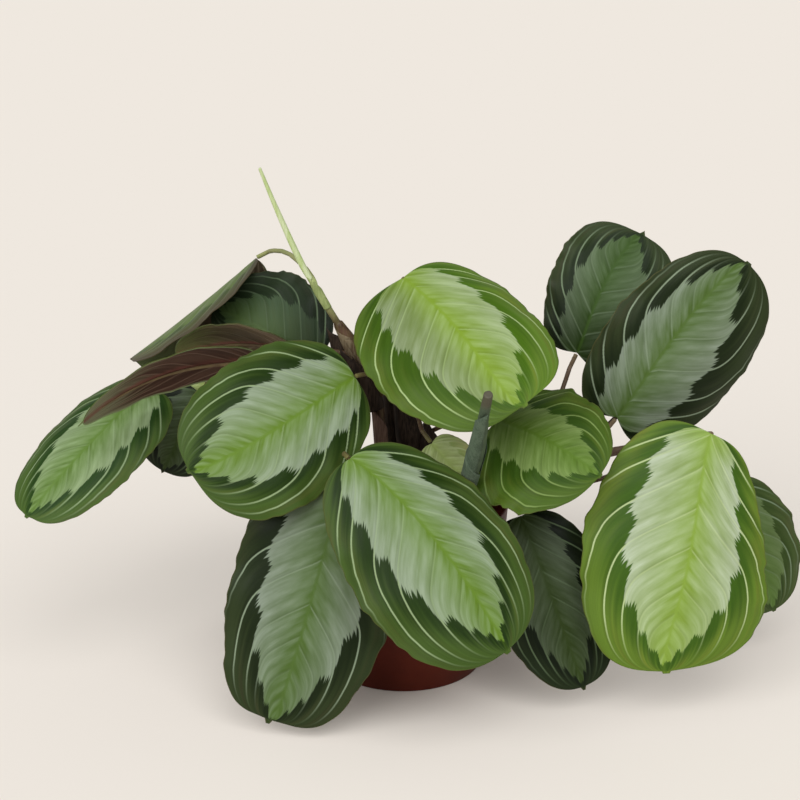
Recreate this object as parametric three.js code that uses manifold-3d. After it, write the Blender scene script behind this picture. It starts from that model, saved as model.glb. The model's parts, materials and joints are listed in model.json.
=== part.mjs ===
// A potted prayer plant: a nursery pot of soil, the leafy shoots that stand in it, and their blades.
// Millimetres, +Z up, the origin at the middle of the pot's base, the plant's front towards -Y.
import * as THREE from "three";
import Module from "manifold-3d";
import { mergeVertices } from "three/addons/utils/BufferGeometryUtils.js";

const wasm = await Module();
wasm.setup();

// Driving dimensions.
const gap = 0.3;
const potHeight = 100;
const potBaseRadius = 46;
const potShoulderRadius = 56;
const rimRadius = 60;
const rimDepth = 12;
const potWall = 1.4;
const potEdge = 1.2;
const rimTaper = 0.8;
const rimStep = 1.4;
const rimChamfer = 0.5;
const drainRadius = 4;
const drainRing = 34;
const drainCount = 6;
const roundSides = 48;
const soilTop = 88;
const soilFloor = 2;
const rootDepth = 18;
const soilSides = 36;
const soilLump = 1.2;
const soilBevel = 2;
const soilWaveX = 6;
const soilWaveY = 7;
const bladeThickness = 0.8;
const bladeRows = 14;
const bladeColumns = 3;
const waveHeight = 2.2;
const wavesPerBlade = 3.5;
const petioleRadius = 1.5;
const petioleSides = 7;
const petioleSeat = 0.75;
const lobeSeat = 0.06;
const bentSeat = 1.3;
const neckLength = 7;
const neckBend = 8;
const stemSides = 9;
const tubeStep = 9;
const holeSides = 16;

// The blade's outline: its rounded body ends short of the tip, where a small spur takes over.
const bodyEnd = 0.965;
const spurStart = 0.85;
const spurSlope = 1.44;
const spurWidest = 0.2;
const narrowest = 0.03;

const colours = {
  pot: 0x4a221b,
  soil: 0x2b2119,
  young: 0x6f9a3c,
  mature: 0x33492a,
  stem: 0x574a38,
  spike: 0xc7cfab,
  cutShoot: 0x576549,
};

// Each blade: where its midrib starts and ends, which way its upper face looks, its half widths left and
// right of the midrib, and how it arches (mm), folds and curls (degrees), both given left, then right. One
// with a bend has its petiole come in from below, turned down by so many degrees. One with a wave has a
// smoother margin, with that share of the usual wave.
const blades = [
  {
    name: "leaf_top_centre", tone: "young", base: [0, 5, 231], tip: [66, -76, 184],
    face: [-0.25, -0.6, 0.75], half: [47, 53], arch: 10, fold: [-10, 0], curl: [-38, -15], full: 0.62,
    belly: [-0.08, 0.06], lobe: 8, bend: 75,
  },
  {
    name: "leaf_left_centre", tone: "young", base: [-27, -28, 185], tip: [-117, -82, 150],
    face: [-0.1, -0.92, 0.36], half: [47, 41], arch: 8, fold: [0, 0], curl: [-8, -25], full: 0.7,
    belly: [-0.12, 0.05], lobe: 2,
  },
  {
    name: "leaf_front_centre", tone: "young", base: [-29, -76, 156], tip: [57, -128, 65],
    face: [0.1, -0.75, 0.7], half: [47, 46], arch: 8, fold: [-5, -5], curl: [-15, -20], full: 0.8,
    belly: [-0.06, -0.12], lobe: 4,
  },
  {
    name: "leaf_low_left", tone: "mature", base: [-35, -68, 136], tip: [-75, -98, 7],
    face: [-0.15, -0.95, 0.3], half: [49, 42], arch: 6, fold: [0, 0], curl: [-15, -12], full: 0.5,
    belly: [0.08, 0.14], lobe: 14,
  },
  {
    name: "leaf_far_left", tone: "mature", base: [-144, 2, 167], tip: [-208, -56, 111],
    face: [-0.3, -0.6, 0.75], half: [33, 35], arch: 8, fold: [-5, -5], curl: [-30, -30], full: 0.7,
    belly: [0.07, 0.07], lobe: 8, wave: 0.4,
  },
  {
    name: "leaf_high_left", tone: "young", base: [-85, 54, 227], tip: [-160, 44, 168],
    face: [-0.4, 0.42, 0.8], half: [38, 40], arch: 1, fold: [-22, -45], curl: [-8, -50], full: 0.8,
    belly: [0.07, -0.3], lobe: 4, wave: 0.4,
  },
  {
    name: "leaf_turned_low", tone: "mature", base: [-83, 2, 183], tip: [-174, -64, 170],
    face: [-0.25, 0.6, 0.75], half: [28, 18], arch: 11, fold: [12, -12], curl: [-12, -12], full: 0.8,
    belly: [-0.15, 0.07], lobe: 4, wave: 0.3,
  },
  {
    name: "leaf_turned_high", tone: "mature", base: [-58, 3, 188], tip: [-131, 16, 181],
    face: [-0.1, 0.7, 0.7], half: [37, 15], arch: 7, fold: [-5, -10], curl: [-5, -10], full: 1.1,
    belly: [0.07, 0.07], lobe: 4, wave: 0.3,
  },
  {
    name: "leaf_back_left", tone: "mature", base: [-49, 24, 176], tip: [-110, 45, 202],
    face: [0.25, -0.88, 0.35], half: [22, 38], arch: 6, fold: [0, 0], curl: [-15, -15], full: 0.8,
    belly: [0.07, 0.07], lobe: 4,
  },
  {
    name: "leaf_small_dark", tone: "mature", base: [-115, 12, 159], tip: [-138, 2, 115],
    face: [0, -0.9, 0.3], half: [26, 26], arch: 4, fold: [0, 0], curl: [-15, -15], full: 0.8,
    belly: [0.07, 0.07], lobe: 5,
  },
  {
    name: "leaf_small_pale", tone: "young", base: [-110, 24, 168], tip: [-126, 14, 145],
    face: [0, -0.9, 0.3], half: [20, 20], arch: 4, fold: [0, 0], curl: [-15, -15], full: 0.8,
    belly: [0.07, 0.07], lobe: 3,
  },
  {
    name: "leaf_right_centre", tone: "young", base: [52, -22, 157], tip: [108, -62, 139],
    face: [0.1, -0.7, 0.7], half: [37, 47], arch: 8, fold: [0, 0], curl: [-15, -15], full: 0.8,
    belly: [0.07, 0.07], lobe: 3,
  },
  {
    name: "leaf_pale_low", tone: "young", base: [15.6, -32, 147], tip: [38, -38, 121],
    face: [-0.2, -0.75, 0.65], half: [15, 15], arch: 2, fold: [0, 0], curl: [-10, -10], full: 0.8,
    belly: [0, 0], lobe: 3,
  },
  {
    name: "leaf_upper_right_small", tone: "mature", base: [99, 25, 180], tip: [138, 55, 243],
    face: [-0.1, -0.9, 0.35], half: [36, 34], arch: 6, fold: [0, 0], curl: [-15, -20], full: 0.62,
    belly: [-0.15, 0], lobe: 8,
  },
  {
    name: "leaf_upper_right_large", tone: "mature", base: [120, -5, 152], tip: [194, 15, 239],
    face: [0.1, -0.9, 0.35], half: [40, 46], arch: 6, fold: [0, -5], curl: [-10, -40], full: 0.8,
    belly: [0.07, 0.07], lobe: 14,
  },
  {
    name: "leaf_front_right", tone: "young", base: [169, -35, 154], tip: [144, -85, 29],
    face: [0, -0.8, 0.6], half: [56, 51], arch: 10, bow: -8, fold: [-12, 0], curl: [-20, -10], full: 0.62,
    belly: [-0.3, -0.02], lobe: 2, bend: 85,
  },
  {
    name: "leaf_far_right", tone: "mature", base: [187, 10, 102], tip: [217, 0, 27],
    face: [0.2, -0.9, 0.4], half: [29, 33], arch: 8, fold: [0, 0], curl: [-15, -15], full: 0.9,
    belly: [0.07, 0.07], lobe: 8,
  },
  {
    name: "leaf_low_right", tone: "mature", base: [65, -36, 105], tip: [101, -72, 14],
    face: [0.1, -0.95, 0.3], half: [33, 32], arch: 6, fold: [0, 0], curl: [-15, -15], full: 0.8,
    belly: [0.07, 0.07], lobe: 2,
  },
  {
    name: "leaf_rear_centre", tone: "mature", base: [6, 32, 200], tip: [38, 112, 150],
    face: [0, 0.5, 0.85], half: [38, 38], arch: 8, fold: [-5, -5], curl: [-20, -20], full: 0.75,
    belly: [0.07, 0.07], lobe: 8,
  },
  {
    name: "leaf_rear_right", tone: "mature", base: [146, 35, 150], tip: [176, 105, 130],
    face: [0.2, 0.5, 0.85], half: [30, 30], arch: 8, fold: [-5, -5], curl: [-20, -20], full: 0.75,
    belly: [0.07, 0.07], lobe: 6,
  },
  {
    name: "leaf_rear_left", tone: "mature", base: [-48, 35, 160], tip: [-80, 115, 125],
    face: [-0.2, 0.5, 0.85], half: [38, 38], arch: 8, fold: [-5, -5], curl: [-20, -20], full: 0.75,
    belly: [0.07, 0.07], lobe: 8,
  },
  {
    name: "leaf_rear_low", tone: "young", base: [45, 25, 120], tip: [58, 110, 75],
    face: [0, 0.5, 0.85], half: [34, 34], arch: 8, fold: [-5, -5], curl: [-20, -20], full: 0.75,
    belly: [0.07, 0.07], lobe: 8,
  },
  {
    name: "leaf_rear_far_right", tone: "young", base: [160, 25, 120], tip: [172, 90, 60],
    face: [0.2, 0.7, 0.7], half: [30, 30], arch: 8, fold: [-5, -5], curl: [-20, -20], full: 0.75,
    belly: [0.07, 0.07], lobe: 6,
  },
];

const vector = (point) => new THREE.Vector3(...point);
const radians = THREE.MathUtils.degToRad;

// A blade's frame: x to the right of its midrib, y from base to tip, z out of its upper face.
function bladeFrame(blade) {
  const base = vector(blade.base);
  const along = vector(blade.tip).sub(base);
  const length = along.length();
  along.normalize();
  const face = vector(blade.face);
  face.addScaledVector(along, -face.dot(along)).normalize();
  const right = along.clone().cross(face);
  const turn = new THREE.Matrix4().makeBasis(right, along, face);
  return { base, length, turn };
}

// Half the blade's width at a share v of its length, as a share of its widest half.
function outlineShare(v, full, belly) {
  const side = 1 - 2 * Math.min(v / bodyEnd, 1);
  const body = Math.sqrt(Math.max(1 - side * side, 0)) ** full * (1 + belly * side);
  const spur = v > spurStart ? Math.min(spurSlope * (1 - v), spurWidest) : 0;
  return Math.max(body, spur, narrowest);
}

// A point of the blade's middle surface: v runs from base to tip, u from -1 (right edge) to 1 (left edge).
function bladePoint(blade, length, v, u) {
  const side = u > 0 ? 0 : 1;
  const sign = u > 0 ? -1 : 1;
  const bow = blade.bow ?? 0;
  const hump = 4 * v * (1 - v);
  const slope = 4 - 8 * v;
  const middle = new THREE.Vector3(-bow * hump, length * v, blade.arch * hump);
  const tangent = new THREE.Vector3(-bow * slope, length, blade.arch * slope).normalize();
  const sideways = tangent.clone().cross(new THREE.Vector3(0, 0, 1)).normalize();
  const outward = sideways.clone().cross(tangent);
  const halfWidth = blade.half[side];
  const across = halfWidth * outlineShare(v, blade.full, blade.belly[side]) * Math.abs(u);
  const fold = radians(blade.fold[side]);
  const curl = radians(blade.curl[side]);
  const angle = fold + (curl * across) / halfWidth;
  const aside = (halfWidth / curl) * (Math.sin(angle) - Math.sin(fold));
  const wave = Math.sin(2 * Math.PI * wavesPerBlade * v + 2 * side) * Math.sin(Math.PI * v);
  const height = waveHeight * (blade.wave ?? 1);
  const curled = (-halfWidth / curl) * (Math.cos(angle) - Math.cos(fold));
  const lift = curled + height * Math.abs(u) ** 3 * wave;
  const share = across / halfWidth;
  const back = blade.lobe * (1 - (1 - share) ** 2) * (1 - v) ** 3;
  return middle
    .addScaledVector(sideways, sign * aside)
    .addScaledVector(outward, lift)
    .addScaledVector(tangent, -back);
}

// The blade as a closed thin body, its two faces split into triangles alike.
function bladeGeometry(blade, length) {
  const columns = 2 * bladeColumns;
  const rowShare = (row) => (1 - Math.cos((Math.PI * row) / bladeRows)) / 2;
  const middle = [];
  for (let row = 0; row <= bladeRows; row += 1) {
    for (let column = 0; column <= columns; column += 1) {
      middle.push(bladePoint(blade, length, rowShare(row), 1 - column / bladeColumns));
    }
  }
  const at = (row, column) => row * (columns + 1) + column;
  const faces = [];
  for (let row = 0; row < bladeRows; row += 1) {
    for (let column = 0; column < columns; column += 1) {
      const [a, b] = [at(row, column), at(row, column + 1)];
      const [c, d] = [at(row + 1, column + 1), at(row + 1, column)];
      faces.push([a, b, c], [a, c, d]);
    }
  }
  const normals = middle.map(() => new THREE.Vector3());
  for (const [a, b, c] of faces) {
    const one = middle[b].clone().sub(middle[a]);
    const two = middle[c].clone().sub(middle[a]);
    const normal = one.cross(two);
    [a, b, c].forEach((corner) => normals[corner].add(normal));
  }
  const positions = [];
  for (const level of [0.5, -0.5]) {
    middle.forEach((point, index) => {
      const shift = normals[index].clone().normalize().multiplyScalar(level * bladeThickness);
      positions.push(...point.clone().add(shift).toArray());
    });
  }
  const under = middle.length;
  const index = [];
  for (const [a, b, c] of faces) {
    index.push(a, b, c, a + under, c + under, b + under);
  }
  const rim = [];
  for (let row = 0; row < bladeRows; row += 1) rim.push(at(row, 0));
  for (let column = 0; column < columns; column += 1) rim.push(at(bladeRows, column));
  for (let row = bladeRows; row > 0; row -= 1) rim.push(at(row, columns));
  for (let column = columns; column > 0; column -= 1) rim.push(at(0, column));
  rim.forEach((a, place) => {
    const b = rim[(place + 1) % rim.length];
    index.push(a, b, b + under, a, b + under, a + under);
  });
  const geometry = new THREE.BufferGeometry();
  geometry.setAttribute("position", new THREE.Float32BufferAttribute(positions, 3));
  geometry.setIndex(index);
  return geometry;
}

const material = (colour, roughness) =>
  new THREE.MeshStandardMaterial({ color: colour, roughness, metalness: 0, side: THREE.DoubleSide });

function bladeMesh(blade) {
  const frame = bladeFrame(blade);
  const mesh = new THREE.Mesh(bladeGeometry(blade, frame.length), material(colours[blade.tone], 0.45));
  mesh.name = blade.name;
  mesh.quaternion.setFromRotationMatrix(frame.turn);
  mesh.position.copy(frame.base);
  return mesh;
}

// A closed tube through the points, its radius given at each of them.
function taperedTube(points, radii, sides) {
  const path = new THREE.CatmullRomCurve3(points.map(vector), false, "centripetal");
  const steps = Math.max(2, Math.round(path.getLength() / tubeStep));
  const frames = path.computeFrenetFrames(steps);
  const positions = [];
  for (let step = 0; step <= steps; step += 1) {
    const centre = path.getPointAt(step / steps);
    const place = path.getUtoTmapping(step / steps) * (radii.length - 1);
    const below = Math.min(Math.floor(place), radii.length - 2);
    const radius = THREE.MathUtils.lerp(radii[below], radii[below + 1], place - below);
    for (let side = 0; side < sides; side += 1) {
      const turn = (2 * Math.PI * side) / sides;
      const corner = centre.clone()
        .addScaledVector(frames.normals[step], radius * Math.cos(turn))
        .addScaledVector(frames.binormals[step], radius * Math.sin(turn));
      positions.push(...corner.toArray());
    }
  }
  const index = [];
  const last = steps * sides;
  for (let step = 0; step < steps; step += 1) {
    for (let side = 0; side < sides; side += 1) {
      const a = step * sides + side;
      const b = step * sides + ((side + 1) % sides);
      index.push(a, b, b + sides, a, b + sides, a + sides);
    }
  }
  for (let side = 1; side < sides - 1; side += 1) {
    index.push(0, side + 1, side, last, last + side, last + side + 1);
  }
  const geometry = new THREE.BufferGeometry();
  geometry.setAttribute("position", new THREE.Float32BufferAttribute(positions, 3));
  geometry.setIndex(index);
  return geometry;
}

// A turned body about the vertical: its profile is radius and height, from axis to axis.
function turned(profile, sides) {
  const points = profile.map(([radius, height]) => new THREE.Vector2(radius, height));
  return new THREE.LatheGeometry(points, sides).rotateX(Math.PI / 2);
}

function upright(radius, bottom, top, x, y, sides) {
  const post = new THREE.CylinderGeometry(radius, radius, top - bottom, sides).rotateX(Math.PI / 2);
  return post.translate(x, y, (top + bottom) / 2);
}

function solid(geometry) {
  const bare = geometry.clone();
  bare.deleteAttribute("normal");
  bare.deleteAttribute("uv");
  const merged = mergeVertices(bare, 1e-4);
  const mesh = new wasm.Mesh({
    numProp: 3,
    vertProperties: new Float32Array(merged.attributes.position.array),
    triVerts: new Uint32Array(merged.index.array),
  });
  return new wasm.Manifold(mesh);
}

function meshOf(name, body, colour, roughness) {
  const { vertProperties, triVerts } = body.getMesh();
  const geometry = new THREE.BufferGeometry();
  geometry.setAttribute("position", new THREE.BufferAttribute(new Float32Array(vertProperties), 3));
  geometry.setIndex(new THREE.BufferAttribute(new Uint32Array(triVerts), 1));
  const mesh = new THREE.Mesh(geometry, material(colour, roughness));
  mesh.name = name;
  return mesh;
}

// The last two points of a blade's petiole: it comes in behind the midrib and ends just short of the blade.
function petioleEnd(bladeName) {
  const blade = blades.find((one) => one.name === bladeName);
  const frame = bladeFrame(blade);
  const bow = blade.bow ?? 0;
  const bend = radians(blade.bend ?? neckBend);
  const seat = blade.bend ? bentSeat : petioleSeat + lobeSeat * blade.lobe;
  const back = new THREE.Vector3(4 * bow, -frame.length, -4 * blade.arch).normalize();
  back.multiplyScalar(Math.cos(bend)).add(new THREE.Vector3(0, 0, -Math.sin(bend))).normalize();
  const points = [neckLength, seat].map((reach) => back.clone().multiplyScalar(reach));
  return points.map((point) => point.applyMatrix4(frame.turn).add(frame.base).toArray());
}

// A shoot: a stem from its hole in the soil, with the petioles and sheaths that grow from it, as one body.
function shootBody(shoot) {
  const [x, y] = shoot.foot;
  const [footRadius, stemRadius, endRadius] = shoot.radius;
  const root = [soilTop - rootDepth + gap, soilTop - rootDepth / 2, soilTop, soilTop + 5];
  const points = root.map((height) => [x, y, height]).concat(shoot.stem);
  if (shoot.ends) points.push(...petioleEnd(shoot.ends));
  const radii = points.map((_, place) => (place < root.length ? footRadius : stemRadius));
  const thin = shoot.ends ? 3 : 1;
  radii.fill(endRadius, radii.length - thin);
  let body = solid(taperedTube(points, radii, stemSides));
  for (const petiole of shoot.petioles) {
    const route = [...petiole.route, ...petioleEnd(petiole.blade)];
    const thick = route.map((_, place) => (place === 0 ? petioleRadius * 1.2 : petioleRadius));
    body = body.add(solid(taperedTube(route, thick, petioleSides)));
  }
  for (const sheath of shoot.sheaths) {
    body = body.add(solid(taperedTube(sheath.route, sheath.radii, stemSides)));
  }
  return body;
}

// Each shoot: where its foot stands in the soil, its radii at the foot, along it and at its end, the blade
// that it ends in, the stem's points above the soil, the petioles, each from a point inside the stem to the
// blade that it carries, and the sheaths wrapped round it.
const shoots = [
  {
    name: "main_shoot", foot: [-9, -8], radius: [3.2, 2.9, 2.3],
    stem: [
      [-11, -8, 120], [-13, -8, 150], [-15, -5, 168], [-20, -3, 182], [-31, 0, 197], [-47, 0, 224],
      [-51, 0, 231],
    ],
    petioles: [
      {
        blade: "leaf_high_left",
        route: [[-46, 1, 221], [-50, 8, 230], [-57, 17, 235], [-65, 30, 237.5], [-73, 43, 235]],
      },
      { blade: "leaf_left_centre", route: [[-14, -6, 162], [-12, -14, 174], [-15, -20, 182]] },
      { blade: "leaf_turned_low", route: [[-18, -4, 179], [-36, -6, 181], [-58, -3, 182]] },
      { blade: "leaf_turned_high", route: [[-23, -2, 186], [-33, 0, 189], [-42, 2, 189]] },
      { blade: "leaf_back_left", route: [[-24, -1, 187], [-30, 10, 182], [-37, 19, 177]] },
    ],
    sheaths: [
      { route: [[-22, -2, 184], [-29, 0, 194], [-36, 0, 206]], radii: [3, 4.8, 3.8] },
      { route: [[-42, 0, 216], [-45, 0, 221], [-48, 0, 226]], radii: [2.8, 3.3, 3.5] },
    ],
  },
  {
    name: "left_shoot", foot: [-27, 5], radius: [2.6, 2.1, 1.6], ends: "leaf_far_left",
    stem: [
      [-36, 10, 112], [-60, 24, 126], [-88, 38, 140], [-114, 43, 149], [-133, 34, 160], [-138, 18, 168],
    ],
    petioles: [
      {
        blade: "leaf_small_dark",
        route: [[-66, 27, 131], [-84, 17, 150], [-100, 14, 164], [-108, 14, 170]],
      },
      { blade: "leaf_small_pale", route: [[-92, 39, 142], [-100, 36, 162], [-107, 30, 173]] },
      { blade: "leaf_rear_left", route: [[-38, 11, 114], [-40, 16, 142], [-44, 24, 160]] },
    ],
    sheaths: [],
  },
  {
    name: "centre_shoot", foot: [7, 8], radius: [3.2, 2.6, 1.7], ends: "leaf_top_centre",
    stem: [[5, 9, 125], [0, 10, 152], [-3, 14, 185], [-6, 15, 216]],
    petioles: [
      { blade: "leaf_right_centre", route: [[4, 9, 128], [16, 0, 142], [34, -10, 152]] },
      { blade: "leaf_pale_low", route: [[1, 10, 148], [4, -6, 156], [8, -20, 158]] },
      { blade: "leaf_rear_centre", route: [[-1, 11, 162], [0, 14, 184], [3, 20, 199]] },
      { blade: "leaf_rear_low", route: [[6, 9, 104], [24, 9, 119], [38, 12, 125]] },
    ],
    sheaths: [],
  },
  {
    name: "front_shoot", foot: [-26, -24], radius: [2.6, 2.1, 1.6], ends: "leaf_front_centre",
    stem: [[-25, -40, 116], [-22, -60, 138], [-28, -68, 152]],
    petioles: [
      { blade: "leaf_low_left", route: [[-26, -36, 110], [-32, -46, 132], [-33, -58, 144]] },
    ],
    sheaths: [],
  },
  {
    name: "right_shoot", foot: [31, 4], radius: [3.2, 2.7, 1.6], ends: "leaf_front_right",
    stem: [
      [46, 0, 108], [72, -6, 122], [100, -12, 130], [122, -17, 137], [145, -18, 141], [161, -21, 146],
    ],
    petioles: [
      { blade: "leaf_upper_right_small", route: [[70, -5, 121], [82, 4, 143], [91, 14, 164]] },
      { blade: "leaf_upper_right_large", route: [[98, -12, 130], [107, -12, 137], [112, -10, 143]] },
      {
        blade: "leaf_far_right",
        route: [[50, -1, 110], [78, -8, 111], [105, -11, 115], [150, 4, 125], [178, 12, 117]],
      },
      { blade: "leaf_rear_right", route: [[96, -11, 129], [116, 4, 144], [134, 18, 154]] },
      { blade: "leaf_rear_far_right", route: [[120, -7, 118], [138, 4, 127], [152, 14, 132]] },
    ],
    sheaths: [],
  },
  {
    name: "low_right_shoot", foot: [37, -16], radius: [2.1, 1.7, 1.5], ends: "leaf_low_right",
    stem: [[43, -20, 104], [52, -27, 113], [59, -31, 116]],
    petioles: [],
    sheaths: [],
  },
];

// The pruned shoot: a bare sheathed stub with a cut end, leaning out over the front of the pot.
const prunedShoot = {
  name: "pruned_shoot", foot: [22, -35], radius: [4.2, 4.1, 2.6],
  stem: [[28, -45, 110], [36, -65, 143.4], [43, -110, 205.8]],
  petioles: [],
  sheaths: [
    { route: [[34.5, -59, 134], [38.6, -77, 160.4], [40.9, -94, 183.6]], radii: [4.2, 4.6, 3.4] },
  ],
};

function potMesh() {
  const rimFoot = potHeight - rimDepth;
  const outside = [
    [0, 0], [potBaseRadius - potEdge, 0], [potBaseRadius, potEdge], [potShoulderRadius, rimFoot],
    [rimRadius - rimTaper, rimFoot + rimStep], [rimRadius, potHeight - 2 * rimChamfer],
    [rimRadius - rimChamfer, potHeight],
  ];
  const inside = [
    [rimRadius - potWall, potHeight], [rimRadius - rimTaper - potWall, rimFoot + rimStep + 1],
    [potShoulderRadius - potWall, rimFoot + 1], [potBaseRadius - potWall, soilFloor], [0, soilFloor],
  ];
  const profile = [...outside, ...inside];
  let body = solid(turned(profile, roundSides));
  for (let hole = 0; hole < drainCount; hole += 1) {
    const turn = (2 * Math.PI * hole) / drainCount;
    const [x, y] = [drainRing * Math.cos(turn), drainRing * Math.sin(turn)];
    body = body.subtract(solid(upright(drainRadius, -1, soilFloor + 1, x, y, holeSides)));
  }
  return meshOf("pot", body, colours.pot, 0.5);
}

// The soil fills the pot below the rim; its top is lumpy, with a plain hole for each shoot.
function soilMesh(allShoots) {
  const wallSlope = (potShoulderRadius - potBaseRadius) / (potHeight - rimDepth);
  const clearance = potWall + 1.7 * gap;
  const radiusAt = (height) => potBaseRadius + wallSlope * height - clearance;
  const shoulder = soilTop - soilBevel;
  const topRadius = radiusAt(shoulder) - soilBevel;
  const rings = [1, 0.75, 0.5, 0.25, 0].map((share) => [share * topRadius, soilTop]);
  const profile = [
    [0, soilFloor + gap], [radiusAt(soilFloor) - 1, soilFloor + gap], [radiusAt(shoulder), shoulder],
    ...rings,
  ];
  const geometry = turned(profile, soilSides);
  const place = geometry.attributes.position;
  for (let corner = 0; corner < place.count; corner += 1) {
    if (place.getZ(corner) <= shoulder) continue;
    const lump = Math.sin(place.getX(corner) / soilWaveX) * Math.cos(place.getY(corner) / soilWaveY);
    place.setZ(corner, soilTop + soilLump * lump);
  }
  let body = solid(geometry);
  for (const shoot of allShoots) {
    const radius = (shoot.radius[0] + gap) / Math.cos(Math.PI / holeSides);
    const hole = upright(radius, soilTop - rootDepth, soilTop + 6, ...shoot.foot, holeSides);
    body = body.subtract(solid(hole));
  }
  return meshOf("soil", body, colours.soil, 0.95);
}

// The newest leaf, still rolled into a spike, seated on the end of the main shoot.
function rolledLeafMesh() {
  const route = [[-51.4, 0, 231.6], [-56, 0, 240.5], [-64, 0, 259], [-72, 0, 279], [-78, 0, 295]];
  const body = solid(taperedTube(route, [2.2, 2.7, 2.4, 1.8, 1.3], stemSides));
  return meshOf("rolled_leaf", body, colours.spike, 0.5);
}

const plant = new THREE.Group();
const allShoots = [...shoots, prunedShoot];
plant.add(potMesh(), soilMesh(allShoots), rolledLeafMesh());
for (const shoot of allShoots) {
  const colour = shoot === prunedShoot ? colours.cutShoot : colours.stem;
  plant.add(meshOf(shoot.name, shootBody(shoot), colour, 0.6));
}
for (const blade of blades) plant.add(bladeMesh(blade));

export default plant;
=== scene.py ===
# %% [markdown]
# # A potted prayer plant
# A young prayer plant stands in a brown nursery pot. Its leaves are what people look at: broad ovals with a
# silver feather down the middle, dark green outside it, and thin pale side veins that sweep towards the tip.
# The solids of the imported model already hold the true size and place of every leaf, shoot and pot wall, so
# this script only replaces each of them with a finer piece of the same form and gives it a real finish.

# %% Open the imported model
import json
import math
from types import SimpleNamespace

import bmesh
import bpy
import numpy as np
from mathutils import Matrix, Vector, noise


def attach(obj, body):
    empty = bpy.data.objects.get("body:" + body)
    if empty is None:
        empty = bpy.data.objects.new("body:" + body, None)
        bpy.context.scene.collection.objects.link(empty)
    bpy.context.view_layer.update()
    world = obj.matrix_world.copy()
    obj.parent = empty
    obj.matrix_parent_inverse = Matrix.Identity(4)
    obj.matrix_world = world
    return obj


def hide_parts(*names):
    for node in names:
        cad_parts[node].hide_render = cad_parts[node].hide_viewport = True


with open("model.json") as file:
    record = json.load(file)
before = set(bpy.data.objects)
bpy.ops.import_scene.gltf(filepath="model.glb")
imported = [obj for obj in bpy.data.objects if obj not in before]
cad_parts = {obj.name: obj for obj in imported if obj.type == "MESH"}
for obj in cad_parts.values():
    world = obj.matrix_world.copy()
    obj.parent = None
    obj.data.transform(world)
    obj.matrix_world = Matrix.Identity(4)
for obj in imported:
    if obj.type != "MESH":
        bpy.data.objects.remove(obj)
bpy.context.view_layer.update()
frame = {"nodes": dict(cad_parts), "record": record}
MM = 0.001
print("nodes in the packed model:", len(frame["nodes"]))

# %% [markdown]
# ## Helpers for colours and patterns
# Colours are written as sRGB hex values, the way a paint chart gives them, and one function turns them into
# the linear values that Blender's shaders expect. One function adds a shader node with its settings and links
# and hands back one of its outputs, so a pattern reads like a formula. A few short functions join such nodes:
# they multiply shares, let a value sway with a noise, and lay coats of paint over each other.

# %% Colours and nodes
SOFT = dict(interpolation_type="SMOOTHSTEP")


def paint(hex_value):
    """An sRGB hex colour as a linear colour with full alpha."""
    shares = [int(hex_value[place:place + 2], 16) / 255 for place in (1, 3, 5)]
    linear = [s / 12.92 if s <= 0.04045 else ((s + 0.055) / 1.055) ** 2.4 for s in shares]
    return (*linear, 1.0)


def connect(tree, node, links):
    """Sets inputs of a node: another node's output is linked, and a plain value is written in."""
    for place, value in links.items():
        if isinstance(value, bpy.types.NodeSocket):
            tree.links.new(value, node.inputs[place])
        else:
            node.inputs[place].default_value = value


def add(tree, kind, *values, out=0, **settings):
    """A new node's output. Values go to its inputs in order, or in one dict; settings are its own."""
    node = tree.nodes.new("ShaderNode" + kind)
    for name, value in settings.items():
        setattr(node, name, value)
    named = values and isinstance(values[0], dict)
    connect(tree, node, values[0] if named else dict(enumerate(values)))
    return node.outputs[out]


# %% Patterns made of a few nodes
def product(tree, first, *others):
    """All the values multiplied with each other."""
    for value in others:
        first = add(tree, "Math", first, value, operation="MULTIPLY")
    return first


def sway(tree, swing, amount, base):
    """The base value, moved up and down by a noise that swings about one half."""
    swing = add(tree, "Math", swing, 0.5, operation="SUBTRACT")
    return add(tree, "Math", swing, amount, base, operation="MULTIPLY_ADD")


def coats(tree, colour, *layers):
    """A base colour with coats over it: each layer is the share that it covers and its colour."""
    for share, coat in layers:
        under, over = (paint(value) if isinstance(value, str) else value for value in (colour, coat))
        colour = add(tree, "Mix", {0: share, 6: under, 7: over}, out=2, data_type="RGBA")
    return colour


def per(size):
    """The scale of a pattern whose grains are so many millimetres wide."""
    return 1 / (size * MM)


def grain(tree, across, along=None, detail=2.0):
    """Noise with grains so many millimetres across, and longer upwards where a fibre asks for it."""
    place = add(tree, "TexCoord", out="Object")
    scale = (per(across), per(across), per(along or across))
    stretched = add(tree, "Mapping", {"Vector": place, "Scale": scale})
    return add(tree, "TexNoise", {"Vector": stretched, "Scale": 1.0, "Detail": detail})


def new_material(name, roughness, specular, ior=1.45):
    """A material with its node tree and its main shader."""
    material = bpy.data.materials.new(name)
    material.use_nodes = True
    shader = material.node_tree.nodes["Principled BSDF"]
    connect(material.node_tree, shader, {"Roughness": roughness, "Specular IOR Level": specular, "IOR": ior})
    return material, material.node_tree, shader


# %% [markdown]
# ## Helpers for pieces
# A piece is shaped as a bmesh, written to a mesh and made an object. Then it is made to ride on the plant,
# and the solids that it stands for are hidden.

# %% Meshes and pieces
def shade_smooth(mesh):
    """Every face of the mesh shades smoothly."""
    mesh.polygons.foreach_set("use_smooth", [True] * len(mesh.polygons))


def mesh_from(bm, name, smooth=True):
    """The bmesh as a mesh, shaded smoothly or in facets."""
    mesh = bpy.data.meshes.new(name)
    bm.to_mesh(mesh)
    bm.free()
    if smooth:
        shade_smooth(mesh)
    return mesh


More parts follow.
